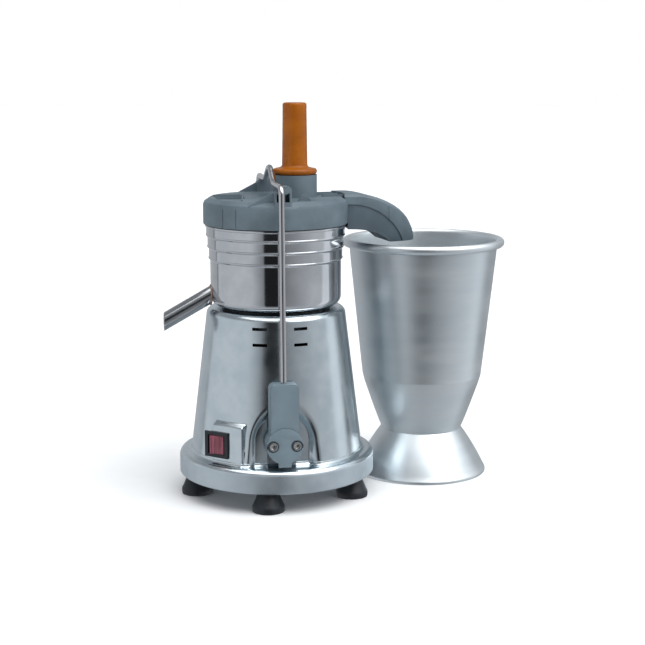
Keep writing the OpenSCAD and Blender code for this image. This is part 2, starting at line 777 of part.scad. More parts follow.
module lid_ribs() {
    for (i = [-3:3]) translate([-lid_r + 14, i * grille_pitch - rib_t / 2, lid_top_z - 1])
        cube([grille_l, rib_t, 1 + rib_h]);
    for (y = [-1, 0, 1]) rotate([0, 0, chute_turn])
        translate([tube_x + tube_r + 2, y * root_rib_y - 0.9, lid_top_z - 1])
            cube([lid_r - tube_x - tube_r - 10, 1.8, 3]);
    rotate([0, 0, long_rib_turn]) translate([long_rib_x, -long_rib_l / 2 - 2, lid_top_z - 1])
        cube([1.4, long_rib_l, 2.4]);
    pull_y(-fin_y, -fin_y + fin_t) translate([fin_x, lid_top_z])
        polygon([[-fin_w / 2, -1], [-fin_w / 2, 0.5], [-4, 0.8 * fin_h], [-1, fin_h],
                 [2, 0.7 * fin_h], [fin_w / 2, 0.5], [fin_w / 2, -1]]);
}

module lid() {
    color([0.39, 0.45, 0.48]) difference() {
        union() {
            lid_shell();
            front() saddle();
            rear() saddle();
            lid_ribs();
            translate([tube_x, 0, tube_bottom_z]) cylinder(r = tube_r, h = tube_top_z - tube_bottom_z);
            rotate([0, 0, chute_turn]) intersection() {
                difference() {
                    chute_solid();
                    chute_bore();
                }
                above_seam();
                translate([0, 0, seam_z - 90]) ring(chute_reach + 9, lid_r - lid_t - throat_edge, 200);
            }
        }
        translate([tube_x, 0, tube_bottom_z - 1]) cylinder(r = tube_r - tube_t, h = tube_top_z);
        front() saddle_pockets();
        rear() saddle_pockets();
        rotate([0, 0, chute_turn]) intersection() {
            chute_bore();
            translate([0, 0, lid_z + ledge_t + throat_edge])
                ring(lid_r + 2, lid_r - 12, lid_h - ledge_t - lid_t - 2 * throat_edge);
        }
        for (a = skirt_grooves) rotate([0, 0, a]) translate([lid_r - 0.6, -0.7, lid_z - 1])
            cube([2, 1.4, lid_h - 8]);
        rotate([0, 0, scoop_turn]) translate([lid_r + 0.9, 0, lid_z + scoop_rise - scoop_r]) rotate([0, -90, 0])
            cylinder(r = scoop_r, h = 2.2);
    }
}

module chute_lower_shell() {
    color([0.36, 0.42, 0.45]) rotate([0, 0, chute_turn]) difference() {
        intersection() {
            chute_solid();
            linear_extrude(roof_z) polygon(plan_points(shell_inset));
        }
        chute_bore();
        above_seam();
        translate([0, 0, outlet_z - 30]) cylinder(r = lid_r + 0.02, h = 200);
    }
}

// ---------- Pusher ----------

module pusher() {
    z0 = tube_top_z + slide_gap;
    low = tube_bottom_z + 2;
    color([0.75, 0.40, 0.03]) translate([tube_x, 0, 0]) difference() {
        rotate_extrude() polygon(concat(
            [[0, low], [plunger_r - 2, low], [plunger_r, low + 2], [plunger_r, z0]],
            [[tube_r - 1, z0]],
            arc(tube_r - 2.4, z0 + 3.2, 2.6, -60, 75, 6),
            [[grip_r + 5, z0 + pusher_collar_h - 1.2]],
            arc(grip_r + 5.2, z0 + pusher_collar_h + 3, 4, 255, 185, 4),
            [[grip_r + 0.9, z0 + pusher_collar_h + 10], [grip_r + 0.6, z0 + grip_h * 0.55]],
            arc(grip_r - 3, z0 + pusher_collar_h + grip_h - 3, 3, 5, 90, 6),
            [[0, z0 + pusher_collar_h + grip_h]]));
        translate([0, 0, low - 1]) cylinder(r = plunger_r - 3.5, h = 90);
    }
}

// ---------- Switch ----------

module switch_body() {
    color([0.07, 0.08, 0.10]) on_pad() difference() {
        union() {
            translate([-bezel_w / 2, -bezel_t, -bezel_h / 2]) cube([bezel_w, bezel_t, bezel_h]);
            translate([-bezel_w / 2 + 2.1, -eps, -bezel_h / 2 + 2.1])
                cube([bezel_w - 4.2, 21, bezel_h - 4.2]);
        }
        translate([-well_w / 2, -bezel_t - 1, -well_h / 2]) cube([well_w, 18 + bezel_t, well_h]);
        translate([0, rocker_pivot, -well_h / 2 - 2]) cylinder(r = 1.6 + fit_gap, h = well_h + 4, $fn = 32);
    }
}

// The rocker leans to one side at rest, and its joint tips it to the other
module switch_rocker() {
    color([0.62, 0.16, 0.24]) on_pad() translate([0, rocker_pivot, 0]) rotate([0, 0, rocker_lean]) {
        translate([0, 0, -well_h / 2 + 0.4]) linear_extrude(well_h - 0.8) intersection() {
            circle(r = rocker_r);
            polygon([[-20, -rocker_pivot - bezel_t - 1.6 - 10 * tan(rocker_lean)],
                     [-rocker_r, -rocker_pivot - bezel_t - rocker_r * tan(rocker_lean) + 0.3],
                     [0, -rocker_pivot - bezel_t + 0.3],
                     [rocker_r, -rocker_pivot - bezel_t - rocker_r * tan(rocker_lean) + 0.3],
                     [20, -rocker_pivot - bezel_t - 1.6 - 10 * tan(rocker_lean)], [20, 8], [-20, 8]]);
        }
        translate([0, 0, -well_h / 2 - 1.5]) cylinder(r = 1.6, h = well_h + 3, $fn = 32);
    }
}

// ---------- Clamp ----------

bracket_screw_x = 12.5;
bracket_screw_z = pivot_z - ring_r - 1;

module pivot_bracket() {
    difference() {
        union() {
            translate([0, 0, pivot_z - ring_r - 5]) pull_y(-boss_y, -recess_y)
                translate([-17, 0]) square([34, 2 * ring_r]);
            pivot_bar(pin_r, boss_y - eps, cap_y);
        }
        for (x = [-1, 1]) {
            pivot_bar(cap_screw_r, recess_y + 5, flange_r + 9, x * cap_screw_x);
            pivot_bar(1.6, recess_y - 1, flange_r, x * bracket_screw_x, bracket_screw_z);
        }
    }
}
module pivot_bracket_front() { color([0.35, 0.37, 0.39]) front() pivot_bracket(); }
module pivot_bracket_rear() { color([0.35, 0.37, 0.39]) rear() pivot_bracket(); }

module bracket_screws() {
    color([0.7, 0.7, 0.72]) for (s = [0, 1]) mirror([0, s, 0]) translate([bail_x, 0, 0])
        for (x = [-1, 1]) {
            pivot_bar(2.8, boss_y + eps, boss_y + 1.8, x * bracket_screw_x, bracket_screw_z);
            pivot_bar(1.5, recess_y - 6, boss_y + 1, x * bracket_screw_x, bracket_screw_z);
        }
}

module pivot_cap() {
    difference() {
        union() {
            pivot_bar(ring_r, cap_y + eps, cap_y + cap_t);
            pull_y(-cap_y - cap_t, -cap_y - eps) translate([-7.5, pivot_z - ring_r - 4]) square([15, 12]);
        }
        for (x = [-1, 1]) {
            pivot_bar(cap_screw_r + 0.2, cap_y - 1, flange_r + 9, x * cap_screw_x);
            pivot_bar(counterbore_r, cap_y + cap_t - 3, flange_r + 9, x * cap_screw_x);
        }
    }
}
module pivot_cap_front() { color([0.40, 0.47, 0.51]) front() pivot_cap(); }
module pivot_cap_rear() { color([0.40, 0.47, 0.51]) rear() pivot_cap(); }

module cap_screws() {
    head_y = cap_y + cap_t - 3 + eps;
    color([0.66, 0.67, 0.68]) for (s = [0, 1]) mirror([0, s, 0]) translate([bail_x, 0, 0])
        for (x = [-1, 1]) difference() {
            union() {
                pivot_bar(screw_head_r, head_y, head_y + 4, x * cap_screw_x);
                pivot_bar(cap_screw_r - 0.1, recess_y + 8, head_y + 1, x * cap_screw_x);
            }
            translate([x * cap_screw_x, -head_y - 1.6, pivot_z]) rotate([90, 0, 0])
                cylinder(r = 2.9, h = 9, $fn = 6);
        }
}

// The arm's plate above its ring, smaller by g
module arm_outline(g) {
    low = pivot_z + ring_r * 0.4;
    high = pivot_z + arm_l - g;
    for (s = [-1, 1]) translate([s * (arm_w / 2 - arm_corner_r), high + g - arm_corner_r])
        circle(r = arm_corner_r - g);
    translate([-arm_w / 2 + g, low]) square([arm_w - 2 * g, high + g - arm_corner_r - low]);
    translate([-arm_w / 2 + arm_corner_r, low]) square([arm_w - 2 * arm_corner_r, high - low]);
}

module bail_arm() {
    difference() {
        union() {
            pull_y(-arm_face_y + arm_bevel, -arm_y) arm_outline(0);
            pull_y(-arm_face_y, -arm_y - arm_bevel) arm_outline(arm_bevel);
            pivot_bar(ring_r, arm_y - 3.6, cap_y - cap_gap);
        }
        pivot_bar(pin_r + fit_gap, arm_y - 5, flange_r + 9);
        pivot_bar(ring_r + cap_gap, cap_y - cap_gap, flange_r + 9);
        pull_y(-flange_r - 9, -cap_y + cap_gap) translate([-8, pivot_z - ring_r - 9]) square([16, 20]);
        translate([0, -rod_y, pocket_z]) cylinder(r = pocket_r, h = pocket_top_z - pocket_z);
        translate([0, -rod_y, pocket_z]) cylinder(r = rod_r + fit_gap, h = arm_l);
    }
}
module bail_arm_front() { color([0.37, 0.44, 0.47]) front() bail_arm(); }
module bail_arm_rear() { color([0.37, 0.44, 0.47]) rear() bail_arm(); }

// A coil spring round the rod, as one swept solid with flat-cut ends
module coil(h) {
    sides = 6;
    per_turn = 12;
    n = spring_turns * per_turn;
    rise = h - 2 * spring_wire_r;
    pts = [for (i = [0:n], k = [0:sides - 1])
        let (a = 360 * i / per_turn, b = 360 * k / sides, r = spring_r + spring_wire_r * cos(b))
        [r * cos(a), r * sin(a), spring_wire_r + rise * i / n + spring_wire_r * sin(b)]];
    faces = concat(
        [for (i = [0:n - 1], k = [0:sides - 1]) let (m = (k + 1) % sides)
            [i * sides + k, (i + 1) * sides + k, (i + 1) * sides + m, i * sides + m]],
        [[for (k = [0:sides - 1]) k]],
        [[for (k = [sides - 1:-1:0]) n * sides + k]]);
    polyhedron(points = pts, faces = faces);
}

module bail_springs() {
    color([0.7, 0.7, 0.72]) for (s = [-1, 1])
        translate([bail_x, s * rod_y, spring_z]) coil(pocket_top_z - spring_z - 0.05);
}

module bail_nuts() {
    color([0.68, 0.69, 0.70]) for (s = [-1, 1]) translate([bail_x, s * rod_y, rod_end_z]) {
        difference() {
            cylinder(r = pocket_r - 0.7, h = end_nut_h, $fn = 6);
            translate([0, 0, -1]) cylinder(r = rod_r, h = end_nut_h + 2);
        }
        translate([0, 0, end_nut_h + 0.02]) ring(pocket_r - 0.5, rod_r + fit_gap, 0.95);
    }
}

// The rod's route in the YZ plane, from the arm's pocket to the middle of its arch
knee_z = pivot_z + arm_l + 2;
knee_r = 40;
bend_r = 9;
arch_r = 25;
arch_a = 28;
lean_a = atan((rod_y - rod_top_y) / (rod_top_z - knee_z));
leg_l = (rod_top_z - knee_z - knee_r * sin(lean_a) - bend_r * (1 - sin(lean_a))) / cos(lean_a);
leg_end_y = -rod_y + knee_r * (1 - cos(lean_a)) + leg_l * sin(lean_a);
arch_l = (rod_arch_h - 2 * arch_r * (1 - cos(arch_a))) / sin(arch_a);
arch_half = 2 * arch_r * sin(arch_a) + arch_l * cos(arch_a);
half_route = concat(
    [[-rod_y, rod_end_z]],
    arc(-rod_y + knee_r, knee_z, knee_r, 180, 180 - lean_a, 2),
    arc(leg_end_y + bend_r * cos(lean_a), rod_top_z - bend_r, bend_r, 180 - lean_a, 90, 5),
    arc(-arch_half, rod_top_z + arch_r, arch_r, 270, 270 + arch_a, 3),
    arc(0, rod_top_z + rod_arch_h - arch_r, arch_r, 90 + arch_a, 90, 4));
rod_route = concat(half_route, [for (i = [len(half_route) - 2:-1:0]) [-half_route[i][0], half_route[i][1]]]);

// A round bar swept along points of the YZ plane, its rings square to the route
module swept_bar(pts, r, sides = 20) {
    n = len(pts);
    function unit(v) = v / norm(v);
    ahead = [for (i = [0:n - 2]) unit(pts[i + 1] - pts[i])];
    dirs = [for (i = [0:n - 1]) unit(ahead[max(i - 1, 0)] + ahead[min(i, n - 2)])];
    points = [for (i = [0:n - 1], k = [0:sides - 1]) let (b = 360 * k / sides)
        [r * cos(b), pts[i][0] - r * sin(b) * dirs[i][1], pts[i][1] + r * sin(b) * dirs[i][0]]];
    faces = concat(
        [for (i = [0:n - 2], k = [0:sides - 1]) let (m = (k + 1) % sides)
            [i * sides + k, (i + 1) * sides + k, (i + 1) * sides + m, i * sides + m]],
        [[for (k = [0:sides - 1]) k]],
        [[for (k = [sides - 1:-1:0]) (n - 1) * sides + k]]);
    polyhedron(points = points, faces = faces);
}

module bail_rod() {
    color([0.74, 0.74, 0.75]) translate([bail_x, 0, 0]) swept_bar(rod_route, rod_r);
}

// ---------- Pulp bin ----------

function bin_side(g) = concat(
    [[bin_neck_r - g, bin_neck_z + g]],
    [for (i = [1:7]) let (u = i / 8)
        [bin_neck_r - g + (bin_knee_r - bin_neck_r) * pow(u, 0.92), bin_neck_z + (bin_knee_z - bin_neck_z) * u]],
    arc(bin_knee_r - 8 - g, bin_knee_z + 3, 8, -18, 4, 4),
    [[bin_mouth_r - g, bin_h - 20], [bin_mouth_r + 0.8 - g, bin_h - 9]]);

module bin_body() {
    color([0.74, 0.75, 0.76]) translate([bin_x, bin_y, 0]) {
        difference() {
            rotate_extrude() polygon(concat([[0, bin_neck_z]], bin_side(0), [[0, bin_h - 9]]));
            rotate_extrude() polygon(concat([[0, bin_neck_z + bin_t]], bin_side(bin_t),
                [[bin_mouth_r + 0.8 - bin_t, bin_h], [0, bin_h]]));
        }
        translate([0, 0, bin_h - bin_bead_r]) rotate_extrude() {
            translate([bin_mouth_r + 0.8 - bin_t, bin_bead_r - 9 - eps]) square([bin_t, 9 - bin_bead_r + 1]);
            translate([bin_rim_r - bin_bead_r, 0]) difference() {
                circle(r = bin_bead_r);
                circle(r = bin_bead_r - bin_t);
                translate([bin_t - bin_bead_r, -bin_bead_r - 1]) square([bin_curl_gap, bin_bead_r + 1]);
            }
        }
    }
}

function foot_side(g) = concat(
    [[bin_foot_r - g, 0], [bin_foot_r - g, 3]],
    [for (i = [1:8]) let (u = i / 8)
        [bin_foot_r - 1 - g - (bin_foot_r - 1 - bin_neck_r) * (0.78 * u + 0.22 * u * u), 3 + (bin_neck_z - 3) * u]]);

module bin_foot() {
    color([0.74, 0.75, 0.76]) translate([bin_x, bin_y, 0]) rotate_extrude()
        polygon(concat(foot_side(0), flipped(foot_side(bin_t))));
}

housing();
base_plate();
base_screws();
feet();
foot_screws();
cable_gland();
motor_top_bracket();
motor_bottom_bracket();
motor_bolts();
stator();
stator_windings();
capacitor();
bearing_top();
bearing_bottom();
shaft_seal();
motor_shaft();
rotor_core();
cooling_fan();
filter_basket();
grater_disc();
basket_nut();
bowl_seat_ring();
juice_bowl();
juice_spout();
lid_gasket();
lid();
chute_lower_shell();
pusher();
switch_body();
switch_rocker();
pivot_bracket_front();
pivot_bracket_rear();
bracket_screws();
pivot_cap_front();
pivot_cap_rear();
cap_screws();
bail_arm_front();
bail_arm_rear();
bail_springs();
bail_nuts();
bail_rod();
bin_body();
bin_foot();
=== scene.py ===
"""Centrifugal juicer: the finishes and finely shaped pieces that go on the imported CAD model.

Metres. +Z is up along the motor axis, the table is Z = 0, the clamp's front is on -Y, the juice
spout points along -X and the pulp chute towards +X.
"""
import json
import math

import bmesh
import bpy
from bpy.props import FloatProperty, PointerProperty
from bpy.types import Operator, Panel, PropertyGroup
from mathutils import Matrix, Vector


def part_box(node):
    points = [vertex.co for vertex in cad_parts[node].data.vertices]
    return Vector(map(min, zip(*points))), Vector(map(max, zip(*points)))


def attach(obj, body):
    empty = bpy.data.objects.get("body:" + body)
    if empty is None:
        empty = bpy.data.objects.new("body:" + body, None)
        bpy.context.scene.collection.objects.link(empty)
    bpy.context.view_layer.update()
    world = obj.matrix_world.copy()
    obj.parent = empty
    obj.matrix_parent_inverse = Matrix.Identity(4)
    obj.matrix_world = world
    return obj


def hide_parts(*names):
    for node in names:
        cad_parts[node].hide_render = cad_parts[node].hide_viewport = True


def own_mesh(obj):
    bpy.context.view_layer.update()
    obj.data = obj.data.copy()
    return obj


bl_info = {
    "name": "Centrifugal juicer",
    "version": (1, 0, 0),
    "blender": (4, 5, 0),
    "location": "3D View > Sidebar > Juicer",
    "description": "Builds the juicer's finishes, its fine pieces and a plain studio around it",
    "category": "Object",
}

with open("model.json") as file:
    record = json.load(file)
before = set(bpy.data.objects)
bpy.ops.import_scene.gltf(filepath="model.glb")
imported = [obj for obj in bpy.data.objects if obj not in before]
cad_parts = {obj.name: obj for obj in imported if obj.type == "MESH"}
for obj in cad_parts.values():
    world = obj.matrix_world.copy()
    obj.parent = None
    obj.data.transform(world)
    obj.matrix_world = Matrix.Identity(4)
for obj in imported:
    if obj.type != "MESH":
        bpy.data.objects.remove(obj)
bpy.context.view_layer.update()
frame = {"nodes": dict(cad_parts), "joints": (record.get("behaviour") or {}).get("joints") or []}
JOINTS = {joint["name"]: joint for joint in frame["joints"]}


# ---------- Colours and nodes ----------

def linear(hex_colour, alpha=1.0):
    """An sRGB hex colour as linear RGBA."""
    parts = [int(hex_colour[i:i + 2], 16) / 255 for i in (1, 3, 5)]
    return tuple(c / 12.92 if c <= 0.04045 else ((c + 0.055) / 1.055) ** 2.4 for c in parts) + (alpha,)


def add(tree, kind, links=None, stops=None, **settings):
    """Adds a node with its settings and links. Keys of links are socket names or numbers, and values are
    numbers or other sockets. A colour ramp takes stops, as (position, colour)."""
    made = tree.nodes.new(kind)
    for key, value in settings.items():
        setattr(made, key, value)
    for key, value in (links or {}).items():
        if isinstance(value, bpy.types.NodeSocket):
            tree.links.new(value, made.inputs[key])
        else:
            made.inputs[key].default_value = value
    if stops:
        elements = made.color_ramp.elements
        while len(elements) < len(stops):
            elements.new(0.5)
        for element, (position, colour) in zip(elements, stops):
            element.position, element.color = position, colour
    return made


def grey(value):
    """A grey as linear RGBA."""
    return (value, value, value, 1.0)


# ---------- Finishes ----------

FINISHES = {}
# Where the noise behind a finish reaches its first and its second tone
TONE_STOPS = (0.35, 0.65)


def finish(name, tones, rough, tone_scale, bumps, centre=(0, 0, 0), rough_scale=None, **values):
    """A finish with a slow change of tone and of roughness, and one or more reliefs.

    tones are two hex colours and rough two roughnesses. Scales are features per metre along X, Y and Z.
    Each of bumps is its noise's scale, its detail, its depth in metres and its strength. The pattern
    starts from centre, and the roughness follows the tone unless rough_scale is given.
    """
    made = bpy.data.materials.new(name)
    made.use_nodes = True
    tree = made.node_tree
    tree.nodes.clear()
    at = add(tree, "ShaderNodeTexCoord").outputs["Object"]
    at = add(tree, "ShaderNodeVectorMath", {0: at, 1: centre}, operation="SUBTRACT").outputs[0]

    def noise(scale, detail):
        spread = add(tree, "ShaderNodeVectorMath", {0: at, 1: scale}, operation="MULTIPLY")
        return add(tree, "ShaderNodeTexNoise",
                   {"Vector": spread.outputs[0], "Scale": 1.0, "Detail": detail}).outputs["Fac"]

    cloud = noise(tone_scale, 4.0)
    low, high = TONE_STOPS
    links = {"Base Color": add(tree, "ShaderNodeValToRGB", {"Fac": cloud}, stops=(
        (low, linear(tones[0])), (high, linear(tones[1])))).outputs[0]}
    patches = noise(rough_scale, 3.0) if rough_scale else cloud
    links["Roughness"] = add(tree, "ShaderNodeValToRGB", {"Fac": patches}, stops=(
        (low, grey(rough[0])), (high, grey(rough[1])))).outputs[0]
    for scale, detail, depth, strength in bumps:
        under = {"Normal": links["Normal"]} if "Normal" in links else {}
        links["Normal"] = add(tree, "ShaderNodeBump", {
            "Height": noise(scale, detail), "Distance": depth, "Strength": strength, **under}).outputs[0]
    shader = add(tree, "ShaderNodeBsdfPrincipled", {**links, **values})
    add(tree, "ShaderNodeOutputMaterial", {"Surface": shader.outputs[0]})
    return made


def finishes():
    """Every finish, made once and kept by a short name."""
    if FINISHES:
        return FINISHES
    metal = {"Metallic": 1.0}
    # Sand-cast aluminium, ground and buffed: upright buffing marks and a slow waviness from the wheel
    FINISHES["casting"] = finish("buffed_cast_aluminium", ("#CBD5DB", "#D8E0E4"), (0.17, 0.24),
                                 (40, 40, 40), (
        ((22, 22, 9), 1.0, 0.0006, 0.12), ((900, 900, 60), 3.0, 0.00003, 0.3)), **metal)
    # The flange's edge is left as it was turned on the lathe
    FINISHES["turned"] = finish("turned_cast_aluminium", ("#C6D0D7", "#D2DBE0"), (0.44, 0.52),
                                (40, 40, 40), (
        ((8, 8, 2200), 2.0, 0.00003, 0.3),), **metal)
    # Deep-drawn stainless steel, mirror polished, with hair-fine wiping scratches round it
    FINISHES["mirror"] = finish("mirror_polished_stainless", ("#C4C6CA", "#D3D4D7"), (0.06, 0.11),
                                (35, 35, 35), (
        ((60, 60, 2600), 2.0, 0.00001, 0.25),), **metal)
    # Aluminium sheet spun over a form: satin, with fine rings left by the tool
    FINISHES["spun"] = finish("spun_aluminium", ("#DDE4E8", "#E8EDEF"), (0.38, 0.46), (9, 9, 40), (
        ((5, 5, 60), 1.0, 0.0002, 0.06), ((6, 6, 1500), 3.0, 0.00002, 0.35)), BIN_CENTRE, **metal)
    # Stainless bar and tube as drawn, with streaks along their length
    FINISHES["rod"] = finish("drawn_stainless", ("#C2C0C2", "#CCCACB"), (0.12, 0.24), (500, 500, 25), (
        ((500, 500, 25), 3.0, 0.00002, 0.4),), **metal)
    FINISHES["spout"] = finish("drawn_tube", ("#B2B4B7", "#BDBEC1"), (0.10, 0.2), (40, 500, 500), (
        ((40, 500, 500), 3.0, 0.00002, 0.4),), **metal)
    # The straw and brown bloom that heat leaves on stainless steel beside a weld
    FINISHES["weld"] = finish("heat_tinted_weld", ("#8F6E5C", "#C9AE9C"), (0.26, 0.34), (120, 120, 120), (
        ((900, 900, 900), 4.0, 0.0003, 0.6),), **metal)
    # Injection-moulded ABS with a spark-eroded grain, 0.7 mm across
    FINISHES["grained"] = finish("grained_abs", ("#56646C", "#62717A"), (0.44, 0.58), (30, 30, 30), (
        ((1400, 1400, 1400), 4.0, 0.00016, 0.55),), rough_scale=(700, 700, 700))
    # Painted shade: the same grained ABS with darker tones, for the chute's lower shell, standing in for
    # the shade on that side of the chute
    FINISHES["shell"] = finish("grained_abs_shell_painted_shade", ("#46535C", "#4F5D66"), (0.44, 0.58), (30, 30, 30), (
        ((1400, 1400, 1400), 4.0, 0.00016, 0.55),), rough_scale=(700, 700, 700))
    FINISHES["smooth"] = finish("smooth_abs", ("#66767F", "#6F7F88"), (0.36, 0.46), (30, 30, 30), (
        ((700, 700, 700), 4.0, 0.00016, 0.12),))
    # Solid orange polyethylene, slightly waxy, so light goes a little way in
    FINISHES["orange"] = finish("orange_polyethylene", ("#944F00", "#A45B00"), (0.26, 0.38), (25, 25, 60), (
        ((300, 300, 90), 5.0, 0.00004, 0.3),), rough_scale=(300, 300, 90), **{
            "Subsurface Weight": 0.12, "Subsurface Scale": 0.004, "Subsurface Radius": (1.0, 0.35, 0.08),
            "Specular IOR Level": 0.3})
    # Moulded nitrile rubber: nearly black, dull, with a dusty bloom
    FINISHES["rubber"] = finish("moulded_rubber", ("#12161B", "#20252C"), (0.42, 0.6), (120, 120, 120), (
        ((400, 400, 400), 6.0, 0.0001, 0.4),))
    # Plain moulded plastics with faint sink and flow marks
    FINISHES["black"] = finish("black_nylon", ("#15191E", "#1C2127"), (0.3, 0.42), (160, 160, 160), (
        ((160, 160, 160), 4.0, 0.00005, 0.35),))
    FINISHES["white"] = finish("white_polypropylene", ("#D0CEC7", "#DAD8D2"), (0.3, 0.4), (160, 160, 160), (
        ((160, 160, 160), 4.0, 0.00005, 0.35),))
    # Clear red polycarbonate, drawn opaque, with lighter upright bars painted into its tone as painted
    # light
    FINISHES["red"] = finish("tinted_polycarbonate", ("#5C1426", "#93485A"), (0.10, 0.16), (420, 420, 30), (
        ((420, 420, 30), 2.0, 0.00004, 0.3),), **{"IOR": 1.58, "Coat Weight": 0.4, "Coat Roughness": 0.05})
    # Pressed and turned steel, zinc plated: cloudy, slightly blue. Plain stainless for the screws
    FINISHES["zinc"] = finish("zinc_plated_steel", ("#92979C", "#9EA3A8"), (0.3, 0.42), (220, 220, 220), (
        ((220, 220, 220), 5.0, 0.00003, 0.4),), **metal)
    FINISHES["bright"] = finish("stainless_screw", ("#BAB9B8", "#C9C8C7"), (0.2, 0.32), (220, 220, 220), (
        ((220, 220, 220), 5.0, 0.00003, 0.4),), **metal)
    FINISHES["cast"] = finish("cast_bracket_alloy", ("#9CA0A4", "#A8ACB0"), (0.42, 0.54), (220, 220, 220), (
        ((500, 500, 500), 5.0, 0.0001, 0.4),), **metal)
    # A stack of stamped iron sheets, 0.5 mm each and drawn 2 mm so that they show, varnished
    FINISHES["iron"] = finish("laminated_iron", ("#3C3E42", "#5B5E63"), (0.45, 0.55), (0, 0, 500), (
        ((0, 0, 500), 0.0, 0.0002, 0.5),), **metal)
    # Enamelled copper wire laid round the ends of the stator, 1.5 mm across and varnished
    FINISHES["copper"] = finish("enamelled_copper", ("#6B2F14", "#B5622C"), (0.3, 0.4), (90, 90, 650), (
        ((90, 90, 650), 1.0, 0.0004, 0.6),), **metal)
    FINISHES["sieve"] = sieve_steel()
    return FINISHES


def sieve_steel():
    """Etched stainless sieve: rows of small holes, drawn 2.4 mm apart so that they show."""
    made = bpy.data.materials.new("etched_sieve_stainless")
    made.use_nodes = True
    tree = made.node_tree
    tree.nodes.clear()
    at = add(tree, "ShaderNodeTexCoord").outputs["Object"]
    part = add(tree, "ShaderNodeSeparateXYZ", {0: at})
    turn = add(tree, "ShaderNodeMath", {0: part.outputs[1], 1: part.outputs[0]}, operation="ARCTAN2")
    across = add(tree, "ShaderNodeMath", {0: turn.outputs[0], 1: 29.0}, operation="MULTIPLY")
    up = add(tree, "ShaderNodeMath", {0: part.outputs[2], 1: 410.0}, operation="MULTIPLY")
    flat = add(tree, "ShaderNodeCombineXYZ", {0: across.outputs[0], 1: up.outputs[0]})
    cells = add(tree, "ShaderNodeTexVoronoi", {"Vector": flat.outputs[0], "Scale": 1.0, "Randomness": 0.0})
    dots = add(tree, "ShaderNodeValToRGB", {"Fac": cells.outputs["Distance"]},
               stops=((0.28, grey(0.0)), (0.36, grey(1.0)))).outputs[0]
    hole, metal = linear("#1B1C1E"), linear("#B9BBBD")
    tint = add(tree, "ShaderNodeMix", {0: dots, 6: hole, 7: metal}, data_type="RGBA")
    relief = add(tree, "ShaderNodeBump", {"Height": dots, "Distance": 0.0003, "Strength": 0.6})
    shader = add(tree, "ShaderNodeBsdfPrincipled", {
        "Base Color": tint.outputs[2], "Metallic": 1.0, "Roughness": 0.25, "Normal": relief.outputs[0]})
    add(tree, "ShaderNodeOutputMaterial", {"Surface": shader.outputs[0]})
    return made


# ---------- Shapes ----------

def arc(cx, cz, r, a0, a1, n=8):
    """Points of an arc in a profile, from angle a0 to a1 in degrees."""
    return [(cx + r * math.cos(math.radians(a0 + (a1 - a0) * i / n)),
             cz + r * math.sin(math.radians(a0 + (a1 - a0) * i / n))) for i in range(n + 1)]


def mesh_piece(name, mesh, material, sharp=35):
    """An object at the origin with smooth faces, sharp where they meet at more than sharp degrees."""
    made = bpy.data.objects.new(name, mesh)
    bpy.context.scene.collection.objects.link(made)
    mesh.materials.clear()
    mesh.materials.append(material)
    mesh.polygons.foreach_set("use_smooth", [True] * len(mesh.polygons))
    mesh.set_sharp_from_angle(angle=math.radians(sharp))
    mesh.update()
    return made


def mesh_from(name, build):
    """A mesh filled by build(bm), with doubles merged and its faces turned outwards."""
    bm = bmesh.new()
    build(bm)
    bmesh.ops.remove_doubles(bm, verts=bm.verts, dist=1e-6)
    bmesh.ops.recalc_face_normals(bm, faces=bm.faces)
    mesh = bpy.data.meshes.new(name)
    bm.to_mesh(mesh)
    bm.free()
    return mesh


def grid_faces(bm, rows, closed_rows=True):
    """Joins rows of vertices, each row a ring, into quads, and the last row to the first."""
    count = len(rows)
    for i in range(count if closed_rows else count - 1):
        a, b = rows[i], rows[(i + 1) % count]
        n = len(a)
        for k in range(n):
            m = (k + 1) % n
            corners = [a[k], a[m], b[m], b[k]]
            if len({v.co.to_tuple(7) for v in corners}) >= 3:
                bm.faces.new(corners)


def turned(bm, profile, centre=(0, 0), steps=160):
    """Turns a closed outline of (radius, height) points round an upright axis."""
    rows = []
    for r, z in profile:
        rows.append([bm.verts.new((centre[0] + r * math.cos(2 * math.pi * k / steps),
                                   centre[1] + r * math.sin(2 * math.pi * k / steps), z))
                     for k in range(steps)])
    grid_faces(bm, rows)


def turned_piece(name, profile, material, centre=(0, 0), steps=160, sharp=35):
    """An object turned from an outline round an upright axis."""
    return mesh_piece(name, mesh_from(name, lambda bm: turned(bm, profile, centre, steps)), material, sharp)


def swept(bm, points, radius, sides=24):
    """A round bar along points, with flat ends."""
    pts = [Vector(p) for p in points]
    ahead = [(pts[min(i + 1, len(pts) - 1)] - pts[max(i - 1, 0)]).normalized() for i in range(len(pts))]
    side = Vector((1, 0, 0))
    rows = []
    for p, d in zip(pts, ahead):
        u = (side - d * side.dot(d)).normalized()
        v = d.cross(u)
        rows.append([bm.verts.new(p + radius * (math.cos(2 * math.pi * k / sides) * u
                                                + math.sin(2 * math.pi * k / sides) * v))
                     for k in range(sides)])
    grid_faces(bm, rows, closed_rows=False)
    bm.faces.new(rows[0][::-1])
    bm.faces.new(rows[-1])


def finish_cad(name, material, edge=0.0):
    """Gives a CAD node its finish, smooth faces and, where edge is above 0, softened edges."""
    node = frame["nodes"][name]
    node.data.materials.clear()
    node.data.materials.append(material)
    node.data.polygons.foreach_set("use_smooth", [True] * len(node.data.polygons))
    weld = node.modifiers.new("Weld", "WELD")
    weld.merge_threshold = 0.00001
    if edge > 0:
        flat = node.modifiers.new("Flat", "DECIMATE")
        flat.decimate_type, flat.angle_limit = "DISSOLVE", math.radians(1.5)
        bevel = node.modifiers.new("Edges", "BEVEL")
        bevel.width, bevel.segments = edge, 2
        bevel.limit_method, bevel.angle_limit = "ANGLE", math.radians(38)
    split = node.modifiers.new("Sharp", "EDGE_SPLIT")
    split.split_angle = math.radians(30)


